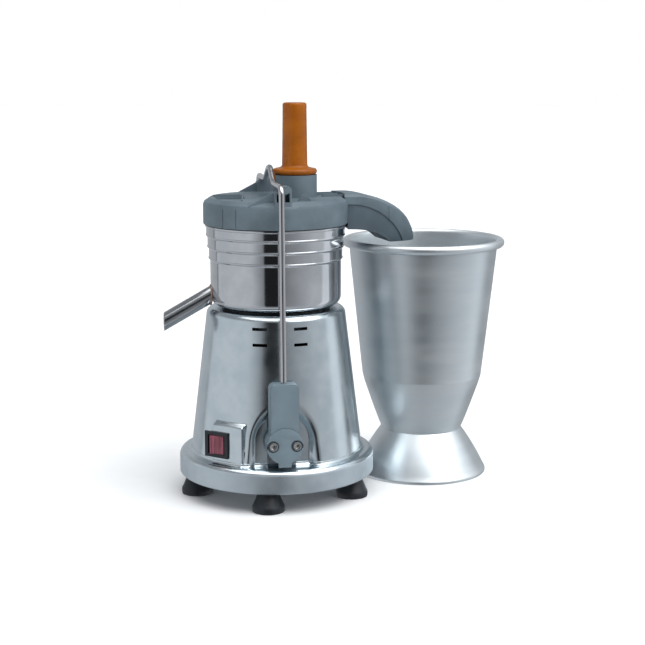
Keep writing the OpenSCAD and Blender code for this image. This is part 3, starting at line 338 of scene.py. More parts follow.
def evaluated_mesh(piece):
    """Replaces a piece's mesh by the result of its modifiers, and removes them."""
    bpy.context.view_layer.update()
    mesh = bpy.data.meshes.new_from_object(piece.evaluated_get(bpy.context.evaluated_depsgraph_get()))
    piece.modifiers.clear()
    piece.data = mesh


def set_on_points(name, points, turns, spacing, centre, source, material, body):
    """Geometry Nodes: copies of source, each turned by its angles, made into one plain mesh.

    Points are in units of spacing, measured from centre. Both are inputs of the tree, beside the source.
    """
    carrier = bpy.data.meshes.new(name)
    carrier.from_pydata(points, [], [])
    spin = carrier.attributes.new("spin", "FLOAT_VECTOR", "POINT")
    spin.data.foreach_set("vector", [angle for turn in turns for angle in turn])
    made = bpy.data.objects.new(name, carrier)
    bpy.context.scene.collection.objects.link(made)
    tree = bpy.data.node_groups.new(name, "GeometryNodeTree")
    tree.interface.new_socket("Geometry", in_out="OUTPUT", socket_type="NodeSocketGeometry")
    tree.interface.new_socket("Geometry", in_out="INPUT", socket_type="NodeSocketGeometry")
    inputs = {"Source": ("Object", source), "Spacing": ("Vector", spacing), "Centre": ("Vector", centre)}
    sockets = {label: tree.interface.new_socket(label, in_out="INPUT", socket_type="NodeSocket" + kind)
               for label, (kind, value) in inputs.items()}
    start = add(tree, "NodeGroupInput")
    at = add(tree, "GeometryNodeInputPosition").outputs[0]
    at = add(tree, "ShaderNodeVectorMath", {0: at, 1: start.outputs["Spacing"], 2: start.outputs["Centre"]},
             operation="MULTIPLY_ADD").outputs[0]
    placed = add(tree, "GeometryNodeSetPosition", {"Geometry": start.outputs["Geometry"], "Position": at})
    piece = add(tree, "GeometryNodeObjectInfo", {"Object": start.outputs["Source"]},
                transform_space="ORIGINAL")
    turn = add(tree, "GeometryNodeInputNamedAttribute", {"Name": "spin"}, data_type="FLOAT_VECTOR")
    copies = add(tree, "GeometryNodeInstanceOnPoints",
                 {"Points": placed.outputs[0], "Instance": piece.outputs["Geometry"],
                  "Rotation": turn.outputs["Attribute"]})
    real = add(tree, "GeometryNodeRealizeInstances", {"Geometry": copies.outputs[0]})
    tinted = add(tree, "GeometryNodeSetMaterial", {"Geometry": real.outputs[0], "Material": material})
    add(tree, "NodeGroupOutput", {"Geometry": tinted.outputs[0]})
    modifier = made.modifiers.new("Copies", "NODES")
    modifier.node_group = tree
    for label, (kind, value) in inputs.items():
        modifier[sockets[label].identifier] = value
    evaluated_mesh(made)
    bpy.data.objects.remove(source)
    made.data.polygons.foreach_set("use_smooth", [True] * len(made.data.polygons))
    made.data.set_sharp_from_angle(angle=math.radians(35))
    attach(made, body)
    return made


def smooth_low(a, b, k):
    """The lower of two values, rounded where they cross over a width k."""
    h = max(k - abs(a - b), 0.0) / k
    return min(a, b) - h * h * k / 4


def smooth_high(a, b, k):
    """The higher of two values, rounded in the same way."""
    return -smooth_low(-a, -b, k)


# ---------- Sizes ----------

BODY_LOW, BODY_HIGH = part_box("housing")
BOWL_LOW, BOWL_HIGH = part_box("juice_bowl")
LID_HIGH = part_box("lid")[1]
BIN_LOW, BIN_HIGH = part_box("bin_body")
BIN_FOOT_LOW, BIN_FOOT_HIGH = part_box("bin_foot")
ROD_LOW, ROD_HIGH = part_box("bail_rod")
PUSHER_LOW, PUSHER_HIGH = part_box("pusher")
ARM_LOW, ARM_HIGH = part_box("bail_arm_front")
SPOUT_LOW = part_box("juice_spout")[0]
FEET_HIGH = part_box("feet")[1]
SWITCH_LOW, SWITCH_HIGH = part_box("switch_body")
BAIL_X = (ARM_LOW.x + ARM_HIGH.x) / 2
PIVOT_Z = JOINTS["bail_swing"]["pos_m"][2]
# The switch and its pad face this way
SWITCH_TURN = math.radians(228)
BIN_CENTRE = ((BIN_FOOT_LOW.x + BIN_FOOT_HIGH.x) / 2, (BIN_FOOT_LOW.y + BIN_FOOT_HIGH.y) / 2, 0)


class BodySizes(PropertyGroup):
    flange_height: FloatProperty(name="Flange height", description="Height of the base flange",
                                 default=0.028, unit="LENGTH")
    cone_bottom: FloatProperty(name="Cone radius at the flange", default=0.1055, unit="LENGTH",
                               description="Radius of the cone where it starts")
    cone_top: FloatProperty(name="Cone radius at the top", description="Radius of the cone under the bowl",
                            default=0.084, unit="LENGTH")
    shoulder: FloatProperty(name="Shoulder rounding", description="Rounding at the top of the cone",
                            default=0.0085, unit="LENGTH")
    recess_depth: FloatProperty(name="Recess depth", default=0.011, unit="LENGTH",
                                description="Depth of the flats round the clamp's pivots")
    recess_width: FloatProperty(name="Recess half width", description="Half width of those flats",
                                default=0.033, unit="LENGTH")
    recess_flare: FloatProperty(name="Recess flare", default=1.3,
                                description="How far the flats' sides spread per unit of depth")
    pad_width: FloatProperty(name="Switch pad width", description="Width of the flat pad behind the switch",
                             default=0.043, unit="LENGTH")


class BowlSizes(PropertyGroup):
    wall_radius: FloatProperty(name="Wall radius", description="Radius of the bowl's straight wall",
                               default=0.0796, unit="LENGTH")
    bead_step: FloatProperty(name="Bead step", description="How far each bead steps the wall out",
                             default=0.0015, unit="LENGTH")
    bead_height: FloatProperty(name="Bead height", description="How far a bead stands proud",
                               default=0.0011, unit="LENGTH")
    heel: FloatProperty(name="Heel rounding", description="Rounding at the foot of the wall",
                        default=0.012, unit="LENGTH")


# ---------- Operators ----------

class JUICER_OT_inner_parts(Operator):
    """Finishes for the motor, its brackets, the screws and the other CAD parts that keep their shape"""
    bl_idname = "juicer.inner_parts"
    bl_label = "Inner parts"

    def execute(self, context):
        kit = finishes()
        plain = {
            "base_plate": "zinc", "base_screws": "zinc", "foot_screws": "zinc", "cable_gland": "black",
            "motor_top_bracket": "cast", "motor_bottom_bracket": "cast", "motor_bolts": "zinc",
            "stator": "iron", "stator_windings": "copper", "capacitor": "white", "bearing_top": "bright",
            "bearing_bottom": "bright", "shaft_seal": "rubber", "motor_shaft": "bright",
            "rotor_core": "iron", "cooling_fan": "black", "filter_basket": "sieve",
            "grater_disc": "bright", "basket_nut": "bright", "bowl_seat_ring": "rubber",
            "lid_gasket": "rubber", "pivot_bracket_front": "zinc", "pivot_bracket_rear": "zinc",
            "bracket_screws": "zinc", "bail_nuts": "zinc"}
        for name, look in plain.items():
            finish_cad(name, kit[look])
        return {"FINISHED"}


class JUICER_OT_carried_parts(Operator):
    """Finishes and softened edges for the CAD parts that show"""
    bl_idname = "juicer.carried_parts"
    bl_label = "Carried parts"

    def execute(self, context):
        kit = finishes()
        finish_cad("lid", kit["grained"], 0.0004)
        # The lower shell takes the darker copy of the grained ABS, which is painted shade
        finish_cad("chute_lower_shell", kit["shell"], 0.0004)
        for name in ("bail_arm_front", "bail_arm_rear", "pivot_cap_front", "pivot_cap_rear"):
            finish_cad(name, kit["smooth"], 0.0005)
        finish_cad("switch_body", kit["black"], 0.0006)
        finish_cad("switch_rocker", kit["red"], 0.0004)
        return {"FINISHED"}


class JUICER_OT_housing(Operator):
    """The cast body: flange, cone, the flats round the clamp's pivots, the switch pad and the vents"""
    bl_idname = "juicer.housing"
    bl_label = "Housing"

    def execute(self, context):
        size = context.scene.juicer_body
        base_r, low, high = BODY_HIGH.x, BODY_LOW.z, BODY_HIGH.z
        cone_z = low + size.flange_height
        wall, fillet, edge, boss_r = 0.004, 0.004, 0.007, 0.060
        slope = (size.cone_top - size.cone_bottom) / (high - cone_z)

        def cone(z):
            return size.cone_bottom + slope * (z - cone_z)

        flat_y = cone(PIVOT_Z) - size.recess_depth
        pad_out = (cone(cone_z) + 0.0005) * math.cos(math.radians(8))
        pad_top = (SWITCH_LOW.z + SWITCH_HIGH.z) / 2 + 0.0275

        def skin(turn, z):
            """Radius of the body at an angle and a height, with the flats cut in and the pad built out."""
            radius = cone(z)
            for side in (-1, 1):
                rise = math.sin(turn) * side
                if rise > 0.5:
                    reach = radius
                    for _ in range(3):
                        x = reach * math.cos(turn) - BAIL_X
                        away = math.hypot(x, max(z - PIVOT_Z, 0.0))
                        depth = max(away - size.recess_width, 0.0) / size.recess_flare
                        reach = (flat_y + depth) / rise
                    radius = smooth_low(radius, reach, 0.009)
            off = (turn - SWITCH_TURN + math.pi) % (2 * math.pi) - math.pi
            if abs(off) < 0.7:
                front = pad_out / math.cos(off)
                side = size.pad_width / 2 / max(abs(math.sin(off)), 1e-4)
                block = smooth_low(front, side, 0.004)
                block = smooth_low(block, cone(z) + (pad_top - z) * 2.2, 0.006)
                radius = smooth_high(radius, block, 0.0022)
            return radius

        # Columns are closer together where the flats and the switch pad are
        columns = []
        turn = -180.0
        while turn < 180.0 - 1e-6:
            columns.append(math.radians(turn))
            fine = abs(abs(turn) - 94) < 32 or abs(turn + 138) < 24
            turn += 0.5 if fine else 2.0
        heights = []
        z, flats_top = cone_z + fillet, 0.137
        while z < high - size.shoulder - 0.0005:
            heights.append(z)
            z += 0.0009 if z < flats_top else 0.006
        shoulder_z = high - size.shoulder
        tilt = math.degrees(math.atan(-slope))
        chamfer = 0.0015
        fixed_low = [(base_r - chamfer, low), (base_r, low + chamfer)]
        fixed_low += arc(base_r - edge, cone_z - edge, edge, 0, 90, 8)
        shifted = [(size.cone_bottom + fillet, cone_z, 0.75)]
        foot = arc(size.cone_bottom + fillet, cone_z + fillet, fillet, 270, 185, 5)
        shifted += [(r, z, 1.0) for r, z in foot]
        top = arc(cone(shoulder_z) - size.shoulder, shoulder_z, size.shoulder, tilt, 90, 9)
        inner = [(boss_r, high), (boss_r, high - wall), (size.cone_top - 0.012, high - wall),
                 (size.cone_top - wall, high - 0.014), (size.cone_bottom - wall, cone_z),
                 (size.cone_bottom, cone_z - wall), (base_r - wall - 0.002, cone_z - wall),
                 (base_r - wall, cone_z - wall - 0.003), (base_r - wall, low)]

        def build(bm):
            def row(radius_at, z):
                reaches = [(t, radius_at(t)) for t in columns]
                return [bm.verts.new((r * math.cos(t), r * math.sin(t), z)) for t, r in reaches]

            change = {t: skin(t, cone_z + fillet) - cone(cone_z + fillet) for t in columns}
            rows = [row(lambda t, r=r: r, z) for r, z in fixed_low]
            rows += [row(lambda t, r=r, f=f: min(r + f * change[t], base_r - edge), z)
                     for r, z, f in shifted]
            rows += [row(lambda t, z=z: skin(t, z), z) for z in heights]
            rows += [row(lambda t, r=r: r, z) for r, z in top]

            def lined(r, z):
                """Inside, the wall keeps behind the flats."""
                def at(t):
                    if cone_z - 0.001 < z < high - 0.02:
                        return min(r, skin(t, z) - wall)
                    return r
                return at
            heights_in = [high - 0.03, 0.14, 0.125, 0.11, 0.095, 0.08, 0.065]
            walls = inner[:4] + [(cone(z) - wall, z) for z in heights_in] + inner[4:]
            rows += [row(lined(r, z), z) for r, z in walls]
            grid_faces(bm, rows)

        made = mesh_piece("housing_skin", mesh_from("housing_skin", build), finishes()["casting"], 32)
        tools = mesh_from("vent_cutter", lambda bm: self.cutters(bm, high))
        cut = bpy.data.objects.new("vent_cutter", tools)
        context.scene.collection.objects.link(cut)
        slots = made.modifiers.new("Slots", "BOOLEAN")
        slots.operation, slots.object, slots.solver = "DIFFERENCE", cut, "EXACT"
        evaluated_mesh(made)
        bpy.data.objects.remove(cut)
        made.data.polygons.foreach_set("use_smooth", [True] * len(made.data.polygons))
        made.data.set_sharp_from_angle(angle=math.radians(32))
        made.data.materials.append(finishes()["turned"])
        for face in made.data.polygons:
            if face.center.z < cone_z - edge * 0.6:
                face.material_index = 1
        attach(made, "base")
        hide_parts("housing")
        return {"FINISHED"}

    @staticmethod
    def cutters(bm, high):
        """Tools for the four vent slots and the openings for the switch and the cable gland."""
        def block(matrix, corners=0.0):
            made = bmesh.ops.create_cube(bm, size=1.0, matrix=matrix)
            if corners:
                # Upright to the wall, so the slot's ends are rounded and its faces stay flat
                edges = [e for e in {e for v in made["verts"] for e in v.link_edges}
                         if abs((e.verts[0].co - e.verts[1].co).normalized().y) > 0.9]
                bmesh.ops.bevel(bm, geom=edges, offset=corners, segments=4, affect="EDGES", profile=0.5)
        slot = Matrix.Diagonal((0.0165, 0.05, 0.0036, 1))
        for x in (-0.024, 0.024):
            for z in (high - 0.033, high - 0.0145):
                block(Matrix.Translation((BAIL_X + x, -0.085, z)) @ slot, 0.0005)
        middle = (SWITCH_LOW + SWITCH_HIGH) / 2
        out = Vector((math.cos(SWITCH_TURN), math.sin(SWITCH_TURN), 0))
        block(Matrix.Translation(middle + out * 0.004)
              @ Matrix.Rotation(SWITCH_TURN, 4, "Z") @ Matrix.Diagonal((0.05, 0.029, 0.027, 1)))
        gland_low, gland_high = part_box("cable_gland")
        middle = (gland_low + gland_high) / 2
        turn = math.atan2(middle.y, middle.x)
        bmesh.ops.create_cone(bm, cap_ends=True, segments=32, radius1=0.008, radius2=0.008, depth=0.04,
                              matrix=Matrix.Translation(middle) @ Matrix.Rotation(turn, 4, "Z")
                              @ Matrix.Rotation(math.pi / 2, 4, "Y"))


class JUICER_OT_bowl(Operator):
    """The mirror-polished bowl with its stepped beads, and the collar round the motor's boss"""
    bl_idname = "juicer.bowl"
    bl_label = "Bowl"

    def execute(self, context):
        size = context.scene.juicer_bowl
        mouth, low, rim = BOWL_HIGH.x, BOWL_LOW.z, BOWL_HIGH.z
        sheet, collar, collar_h = 0.0015, 0.0252, 0.015
        first_bead, bead_pitch, bead_width, step_width = 0.0132, 0.014, 0.0013, 0.0024
        beads = [rim - first_bead - bead_pitch * i for i in range(3)]

        def wall(z):
            """Outer radius: three beads, each with the wall above it a step wider."""
            radius = size.wall_radius
            for bead in beads:
                t = min(max((z - bead) / step_width + 0.5, 0.0), 1.0)
                radius += size.bead_step * t * t * (3 - 2 * t)
                radius += size.bead_height * math.exp(-((z - bead) / bead_width) ** 2)
            return min(radius, mouth - 0.0002)

        outer = [(mouth - 0.0003, rim), (mouth, rim - 0.0003), (mouth, rim - 0.0020),
                 (mouth - 0.0004, rim - 0.0026), (mouth - 0.0012, rim - 0.0031)]
        z = rim - 0.0037
        while z > low + size.heel + 0.001:
            outer.append((wall(z), z))
            z -= 0.00045 if z > beads[-1] - 0.006 else 0.008
        outer += arc(size.wall_radius - size.heel, low + size.heel, size.heel, 0, -90, 12)
        outer += [(collar + sheet + 0.004, low), (collar + sheet + 0.001, low), (collar, low)]
        inside = [(collar, low + collar_h), (collar + sheet, low + collar_h),
                  (collar + sheet, low + sheet + 0.003), (collar + sheet + 0.003, low + sheet)]
        inside += arc(size.wall_radius - size.heel, low + size.heel, size.heel - sheet, -90, 0, 8)
        inside += [(r - sheet, z) for r, z in outer[5:] if z > low + size.heel + 0.001][::-1]
        inside += [(mouth - sheet, rim - 0.003), (mouth - sheet, rim)]
        made = turned_piece("bowl_skin", outer + inside, finishes()["mirror"], steps=192)
        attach(made, "base")
        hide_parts("juice_bowl")
        return {"FINISHED"}


class JUICER_OT_spout(Operator):
    """The spout tube, cut upright at its mouth, and the weld that joins it to the bowl"""
    bl_idname = "juicer.spout"
    bl_label = "Spout"

    def execute(self, context):
        size = context.scene.juicer_bowl
        reach, radius, bore = SPOUT_LOW.x, 0.010, 0.0085
        drop = math.radians(29)
        root = Vector((-size.wall_radius, 0, BOWL_LOW.z + radius / math.cos(drop) + 0.0024))
        along = Vector((-math.cos(drop), 0, -math.sin(drop)))
        up, side = Vector((-math.sin(drop), 0, math.cos(drop))), Vector((0, 1, 0))

        def ring(bm, r, wall_r=None, end_x=None, sides=64):
            """Where the tube's surface of radius r meets the bowl's wall or the plane of its mouth."""
            row = []
            for k in range(sides):
                a = 2 * math.pi * k / sides
                p = root + r * (math.cos(a) * up + math.sin(a) * side)
                if end_x is not None:
                    t = (end_x - p.x) / along.x
                else:
                    t = (-math.sqrt(max(wall_r ** 2 - p.y ** 2, 0.0)) - p.x) / along.x
                row.append(bm.verts.new(p + along * t))
            return row

        def tube(bm):
            rim = 0.0003
            wall_r = size.wall_radius - 0.0006
            rows = [ring(bm, bore, wall_r=wall_r), ring(bm, radius, wall_r=wall_r),
                    ring(bm, radius, end_x=reach + rim), ring(bm, radius - rim, end_x=reach),
                    ring(bm, bore + rim, end_x=reach), ring(bm, bore, end_x=reach + rim)]
            grid_faces(bm, rows)

        def weld(bm):
            bead = ((-0.0004, 0.0), (0.0012, 0.0), (0.0014, -0.0009), (0.0008, -0.0019), (-0.0004, -0.0024))
            rows = []
            for dr, dt in bead:
                row = ring(bm, radius + dr, wall_r=size.wall_radius - 0.0004)
                for k, v in enumerate(row):
                    v.co -= along * (dt - 0.0001 * math.sin(k * 1.7))
                rows.append(row)
            grid_faces(bm, rows)

        made = mesh_piece("spout_tube", mesh_from("spout_tube", tube), finishes()["spout"])
        bead = mesh_piece("spout_weld", mesh_from("spout_weld", weld), finishes()["weld"], 60)
        for piece in (made, bead):
            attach(piece, "base")
        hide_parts("juice_spout")
        return {"FINISHED"}


class JUICER_OT_bin(Operator):
    """The spun bin with its rolled rim, and the flared foot it stands on"""
    bl_idname = "juicer.bin"
    bl_label = "Pulp bin"

    def execute(self, context):
        rim_r = (BIN_HIGH.x - BIN_LOW.x) / 2
        neck_z, high, sheet, bead = BIN_LOW.z, BIN_HIGH.z, 0.002, 0.0053
        neck_r, knee_r, mouth_r = rim_r - 0.0518, rim_r - 0.0267, rim_r - 0.0100
        knee_z = neck_z + 0.069

        side = [(neck_r + (knee_r - neck_r) * (i / 8) ** 0.92, neck_z + (knee_z - neck_z) * i / 8)
                for i in range(8)]
        side += arc(knee_r - 0.008, knee_z + 0.003, 0.008, -18, 4, 8)
        wall_r, wall_z, throat_z = knee_r + 0.0002, knee_z + 0.004, high - 0.020
        for i in range(1, 15):
            t = i / 14
            side.append((wall_r + (mouth_r - wall_r) * t, wall_z + (throat_z - wall_z) * t))
        side += [(mouth_r + 0.0004, high - 0.014), (mouth_r + 0.0008, high - 0.009)]
        roll = arc(rim_r - bead, high - bead, bead, -140, 175, 22)
        inner = [(r - sheet, z) for r, z in side if z > neck_z + sheet][::-1] + [(0, neck_z + sheet)]
        body = [(0, neck_z)] + side + roll + inner
        body_piece = turned_piece("bin_skin", body, finishes()["spun"], BIN_CENTRE, 192, 40)

        foot_r = (BIN_FOOT_HIGH.x - BIN_FOOT_LOW.x) / 2
        flare = [(foot_r - 0.0006, 0.0), (foot_r, 0.0008), (foot_r, 0.0030), (foot_r - 0.0006, 0.0040)]
        for i in range(1, 17):
            u = i / 16
            flare.append((foot_r - 0.001 - (foot_r - 0.001 - neck_r) * (0.78 * u + 0.22 * u * u),
                          0.004 + (neck_z - 0.004) * u))
        foot = flare + [(r - sheet, z) for r, z in flare][::-1]
        foot_piece = turned_piece("bin_foot_skin", foot, finishes()["spun"], BIN_CENTRE, 192, 40)
        for piece, node in ((body_piece, "bin_body"), (foot_piece, "bin_foot")):
            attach(piece, "pulp_bin")
            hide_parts(node)
        return {"FINISHED"}


class JUICER_OT_pusher(Operator):
    """The orange pusher: hollow plunger, rolled collar and tapered grip"""
    bl_idname = "juicer.pusher"
    bl_label = "Pusher"

    def execute(self, context):
        middle = (PUSHER_LOW + PUSHER_HIGH) / 2
        tube_r, plunger_r, grip_r = (PUSHER_HIGH.x - PUSHER_LOW.x) / 2 - 0.0002, 0.0232, 0.0144
        seat = LID_HIGH.z + 0.0003
        low, high = PUSHER_LOW.z, PUSHER_HIGH.z
        hollow_r, hollow_top = plunger_r - 0.0035, low + 0.086
        outline = [(plunger_r - 0.002, low), (plunger_r, low + 0.002), (plunger_r, seat),
                   (tube_r - 0.002, seat)]
        outline += arc(tube_r - 0.0034, seat + 0.0036, 0.0036, -80, 80, 14)
        outline += [(tube_r - 0.0058, seat + 0.0076), (grip_r + 0.0052, seat + 0.0081)]
        outline += arc(grip_r + 0.0050, seat + 0.0122, 0.0040, 262, 184, 8)
        outline += [(grip_r + 0.0009, seat + 0.0185), (grip_r + 0.0005, seat + 0.045),
                    (grip_r + 0.0002, seat + 0.068)]
        outline += arc(grip_r - 0.0028, high - 0.0028, 0.0028, 5, 90, 8)
        outline += [(0, high), (0, hollow_top), (hollow_r - 0.001, hollow_top),
                    (hollow_r, hollow_top - 0.002), (hollow_r, low)]
        made = turned_piece("pusher_skin", outline, finishes()["orange"], (middle.x, middle.y), 96, 50)
        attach(made, "pusher")
        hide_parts("pusher")
        return {"FINISHED"}


class JUICER_OT_bail_rod(Operator):
    """The bright bar bent over the lid, from one arm to the other"""
    bl_idname = "juicer.bail_rod"
    bl_label = "Bail rod"

    def execute(self, context):
        radius = (ROD_HIGH.x - ROD_LOW.x) / 2
        foot_y, foot_z = ROD_HIGH.y - radius, ROD_LOW.z
        crown_z = ROD_HIGH.z - radius
        arch = 0.017
        shoulder_z = crown_z - arch
        shoulder_y = 0.098
        knee_z = PIVOT_Z + 0.075
        knee, bend, curl, lie = 0.040, 0.009, 0.025, 28
        lean = math.degrees(math.atan((foot_y - shoulder_y) / (shoulder_z - knee_z)))
        sine, cosine = math.sin(math.radians(lean)), math.cos(math.radians(lean))
        leg = (shoulder_z - knee_z - knee * sine - bend * (1 - sine)) / cosine
        leg_y = -foot_y + knee * (1 - cosine) + leg * sine
        rise = math.radians(lie)
        run = (arch - 2 * curl * (1 - math.cos(rise))) / math.sin(rise)
        half = 2 * curl * math.sin(rise) + run * math.cos(rise)
        route = [(-foot_y, foot_z), (-foot_y, foot_z + 0.03)]
        route += arc(-foot_y + knee, knee_z, knee, 180, 180 - lean, 4)
        route += arc(leg_y + bend * cosine, shoulder_z - bend, bend, 180 - lean, 90, 10)
        route += arc(-half, shoulder_z + curl, curl, 270, 270 + lie, 7)
        route += arc(0, shoulder_z + arch - curl, curl, 90 + lie, 90, 8)
        route += [(-y, z) for y, z in route[-2::-1]]
        line = [(BAIL_X, y, z) for y, z in route]
        mesh = mesh_from("bail_rod_bar", lambda bm: swept(bm, line, radius, 32))
        made = mesh_piece("bail_rod_bar", mesh, finishes()["rod"], 50)
        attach(made, "bail")
        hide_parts("bail_rod")
        return {"FINISHED"}


class JUICER_OT_springs(Operator):
    """The two coil springs inside the arms"""
    bl_idname = "juicer.springs"
    bl_label = "Springs"

    def execute(self, context):
        low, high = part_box("bail_springs")
        wire, turns, per_turn = 0.0008, 7, 24
        coil = (high.x - low.x) / 2 - wire

        def coils(bm):
            for y in (low.y + coil + wire, high.y - coil - wire):
                steps = turns * per_turn
                rise = high.z - low.z - 2 * wire
                swept(bm, [(BAIL_X + coil * math.cos(2 * math.pi * i / per_turn),
                            y + coil * math.sin(2 * math.pi * i / per_turn),
                            low.z + wire + rise * i / steps) for i in range(steps + 1)], wire, 10)

        made = mesh_piece("spring_coils", mesh_from("spring_coils", coils), finishes()["bright"], 50)
        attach(made, "bail_arms")
        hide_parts("bail_springs")
        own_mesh(made)
        return {"FINISHED"}


class JUICER_OT_feet(Operator):
    """The moulded rubber feet, one shape set at equal angles under the flange"""
    bl_idname = "juicer.feet"
    bl_label = "Feet"

    def execute(self, context):
        ring, first, count = BODY_HIGH.x - 0.020, -104, 5
        sole, neck, high = 0.0195, 0.012, FEET_HIGH.z
        hole, screw_well, well_top = 0.0025, 0.005, 0.008
        outline = [(screw_well, 0.0), (sole - 0.0015, 0.0), (sole - 0.0004, 0.0004), (sole, 0.0015),
                   (sole, 0.0055), (sole - 0.0004, 0.0075), (sole - 0.0016, 0.0092)]
        outline += [(neck + 0.0022, high - 0.0065), (neck + 0.0008, high - 0.004), (neck, high - 0.001),
                    (neck, high), (hole, high), (hole, well_top), (screw_well, well_top)]
        foot = mesh_from("foot_source", lambda bm: turned(bm, outline, steps=72))
        source = bpy.data.objects.new("foot_source", foot)
        context.scene.collection.objects.link(source)
        angles = [math.radians(first + 360 * i / count) for i in range(count)]
        points = [(math.cos(a), math.sin(a), 0) for a in angles]
        made = set_on_points("rubber_feet", points, [(0, 0, 0)] * count, (ring, ring, 0), (0, 0, 0), source,
                             finishes()["rubber"], "base")
        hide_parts("feet")
        return {"FINISHED"}


class JUICER_OT_cap_screws(Operator):
    """The four socket-head screws that hold the pivot caps"""
    bl_idname = "juicer.cap_screws"
    bl_label = "Cap screws"

    def execute(self, context):
        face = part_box("cap_screws")[1].y
        head, head_height, socket, depth = 0.0053, 0.004, 0.0029, 0.0026
        shank, length, apart = 0.0029, 0.020, 0.014
        spins = {-1: 0.9, 1: 0.3}

        def screw(bm):
            """Head up +Z, its face at Z = 0, with a six-sided socket."""
            angles = [2 * math.pi * k / 48 for k in range(48)]

            def circle(r, z):
                return [bm.verts.new((r * math.cos(a), r * math.sin(a), z)) for a in angles]

            def hexagon(r, z):
                row = []
                for a in angles:
                    off = (a + math.pi / 6) % (math.pi / 3) - math.pi / 6
                    d = r * math.cos(math.pi / 6) / math.cos(off)
                    row.append(bm.verts.new((d * math.cos(a), d * math.sin(a), z)))
                return row

            rows = [circle(1e-5, -length), circle(shank, -length), circle(shank, -head_height),
                    circle(head, -head_height), circle(head, -0.0006), circle(head - 0.0002, -0.0002),
                    circle(head - 0.0008, 0), circle(socket + 0.0007, 0), hexagon(socket + 0.0002, -0.0003),
                    hexagon(socket, -depth), circle(0.0006, -depth - 0.0006)]
            grid_faces(bm, rows, closed_rows=False)
            bm.faces.new(rows[0][::-1])
            bm.faces.new(rows[-1])

        source = bpy.data.objects.new("screw_source", mesh_from("screw_source", screw))
        context.scene.collection.objects.link(source)
        points = [(x, side, 0) for side in (-1, 1) for x in (-1, 1)]
        turns = [(-side * math.pi / 2, spins[x], 0) for x, side, z in points]
        made = set_on_points("socket_screws", points, turns, (apart, face, 0), (BAIL_X, 0, PIVOT_Z), source,
                             finishes()["bright"], "base")
        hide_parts("cap_screws")
        return {"FINISHED"}


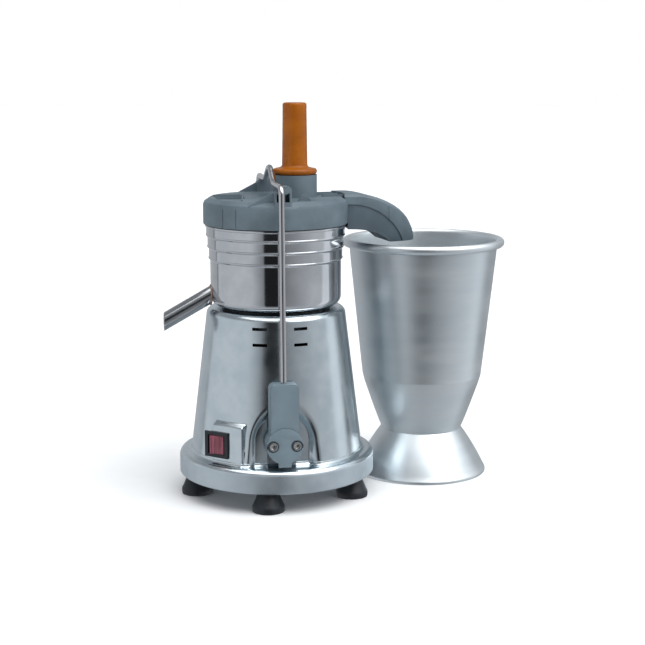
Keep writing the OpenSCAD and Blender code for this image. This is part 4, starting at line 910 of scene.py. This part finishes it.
class JUICER_OT_stage(Operator):
    """A plain pale floor, soft studio light, and the camera"""
    bl_idname = "juicer.stage"
    bl_label = "Stage"

    def execute(self, context):
        scene = context.scene
        floor_look = finish("white_paper", ("#F7F7F7", "#F9F9F9"), (0.85, 0.95), (30, 30, 30), (
            ((2000, 2000, 2000), 2.0, 0.0001, 0.1),), **{"Specular IOR Level": 0.1})
        across, thick = 14, 0.02
        slab = [(0, 0), (across, 0), (across, -thick), (0, -thick)]
        floor = turned_piece("floor", slab, floor_look, steps=96)
        floor.visible_glossy = False

        world = bpy.data.worlds.new("studio")
        scene.world = world
        world.use_nodes = True
        tree = world.node_tree
        tree.nodes.clear()
        ray = add(tree, "ShaderNodeTexCoord").outputs["Generated"]
        front = add(tree, "ShaderNodeVectorMath", {0: ray, 1: (-0.174, -0.985, 0)}, operation="DOT_PRODUCT")
        right = add(tree, "ShaderNodeVectorMath", {0: ray, 1: (0.985, -0.174, 0)}, operation="DOT_PRODUCT")
        turn = add(tree, "ShaderNodeMath", {0: right.outputs["Value"], 1: front.outputs["Value"]},
                   operation="ARCTAN2")
        share = add(tree, "ShaderNodeMath", {0: turn.outputs[0], 1: 1 / (2 * math.pi), 2: 0.5},
                    operation="MULTIPLY_ADD")
        tint = (0.94, 0.99, 1.04)

        def panorama(levels):
            """Colours at angles, in degrees from straight ahead of the machine."""
            return add(tree, "ShaderNodeValToRGB", {"Fac": share.outputs[0]}, stops=[
                (angle / 360 + 0.5, tuple(level * c for c in tint) + (1.0,)) for angle, level in levels])

        walls = panorama(((-180, 0.5), (-124, 0.5), (-121, 0.22), (-117, 0.66), (-40, 0.66), (-19, 0.3),
                          (-17, 0.02), (6, 0.02), (12, 0.24), (69, 0.58), (88, 0.6), (94, 0.9), (109, 0.9),
                          (117, 0.2), (132, 0.24), (142, 0.5), (160, 0.2), (180, 0.5)))
        roof = panorama(((-180, 0.3), (-30, 0.32), (20, 0.5), (50, 1.1), (100, 1.1), (150, 0.3)))
        height = add(tree, "ShaderNodeSeparateXYZ", {0: ray}).outputs[2]
        above = add(tree, "ShaderNodeMapRange", {"Value": height, "From Min": 0.3, "From Max": 0.6})
        below = add(tree, "ShaderNodeMapRange", {"Value": height, "From Min": -0.45, "From Max": -0.8})
        lit = add(tree, "ShaderNodeMix", {0: above.outputs[0], 6: walls.outputs[0], 7: roof.outputs[0]},
                  data_type="RGBA")
        lit = add(tree, "ShaderNodeMix", {0: below.outputs[0], 6: lit.outputs[2], 7: (0.5, 0.53, 0.56, 1)},
                  data_type="RGBA")
        seen = add(tree, "ShaderNodeLightPath").outputs["Is Camera Ray"]
        colour = add(tree, "ShaderNodeMix", {0: seen, 6: lit.outputs[2], 7: grey(1.0)}, data_type="RGBA")
        back = add(tree, "ShaderNodeBackground", {"Color": colour.outputs[2], "Strength": 1.0})
        add(tree, "ShaderNodeOutputWorld", {"Surface": back.outputs[0]})

        for name, energy, spread, tip in (("overhead", 1.9, 75, (8, 4, 0)), ("key", 0.9, 50, (42, 0, 48))):
            lamp = bpy.data.lights.new(name, "SUN")
            lamp.energy, lamp.angle = energy, math.radians(spread)
            sun = bpy.data.objects.new(name, lamp)
            sun.rotation_euler = [math.radians(turn) for turn in tip]
            scene.collection.objects.link(sun)

        data = bpy.data.cameras.new("camera")
        camera = bpy.data.objects.new("camera", data)
        scene.collection.objects.link(camera)
        data.lens, data.sensor_width = 81.7, 36.0
        camera.location = (-0.2509, -1.7510, 0.529)
        camera.rotation_euler = (math.radians(79.73), 0.0, math.radians(-10.0))
        scene.camera = camera
        scene.view_settings.view_transform = "Standard"
        return {"FINISHED"}


OPERATORS = (JUICER_OT_stage, JUICER_OT_inner_parts, JUICER_OT_carried_parts, JUICER_OT_housing,
             JUICER_OT_feet, JUICER_OT_bowl, JUICER_OT_spout, JUICER_OT_bin, JUICER_OT_pusher,
             JUICER_OT_bail_rod, JUICER_OT_cap_screws, JUICER_OT_springs)


class JUICER_PT_panel(Panel):
    """Lists the juicer's pieces"""
    bl_idname = "JUICER_PT_panel"
    bl_label = "Centrifugal juicer"
    bl_space_type = "VIEW_3D"
    bl_region_type = "UI"
    bl_category = "Juicer"

    def draw(self, context):
        for operator in OPERATORS:
            self.layout.operator(operator.bl_idname, text=operator.bl_label)


CLASSES = (BodySizes, BowlSizes) + OPERATORS + (JUICER_PT_panel,)


def register():
    for item in CLASSES:
        bpy.utils.register_class(item)
    bpy.types.Scene.juicer_body = PointerProperty(type=BodySizes)
    bpy.types.Scene.juicer_bowl = PointerProperty(type=BowlSizes)


def unregister():
    del bpy.types.Scene.juicer_bowl
    del bpy.types.Scene.juicer_body
    for item in reversed(CLASSES):
        bpy.utils.unregister_class(item)


def main():
    register()
    bpy.ops.juicer.stage()
    bpy.ops.juicer.inner_parts()
    bpy.ops.juicer.carried_parts()
    bpy.ops.juicer.housing()
    bpy.ops.juicer.feet()
    bpy.ops.juicer.bowl()
    bpy.ops.juicer.spout()
    bpy.ops.juicer.bin()
    bpy.ops.juicer.pusher()
    bpy.ops.juicer.bail_rod()
    bpy.ops.juicer.cap_screws()
    bpy.ops.juicer.springs()


if __name__ == "__main__":
    main()
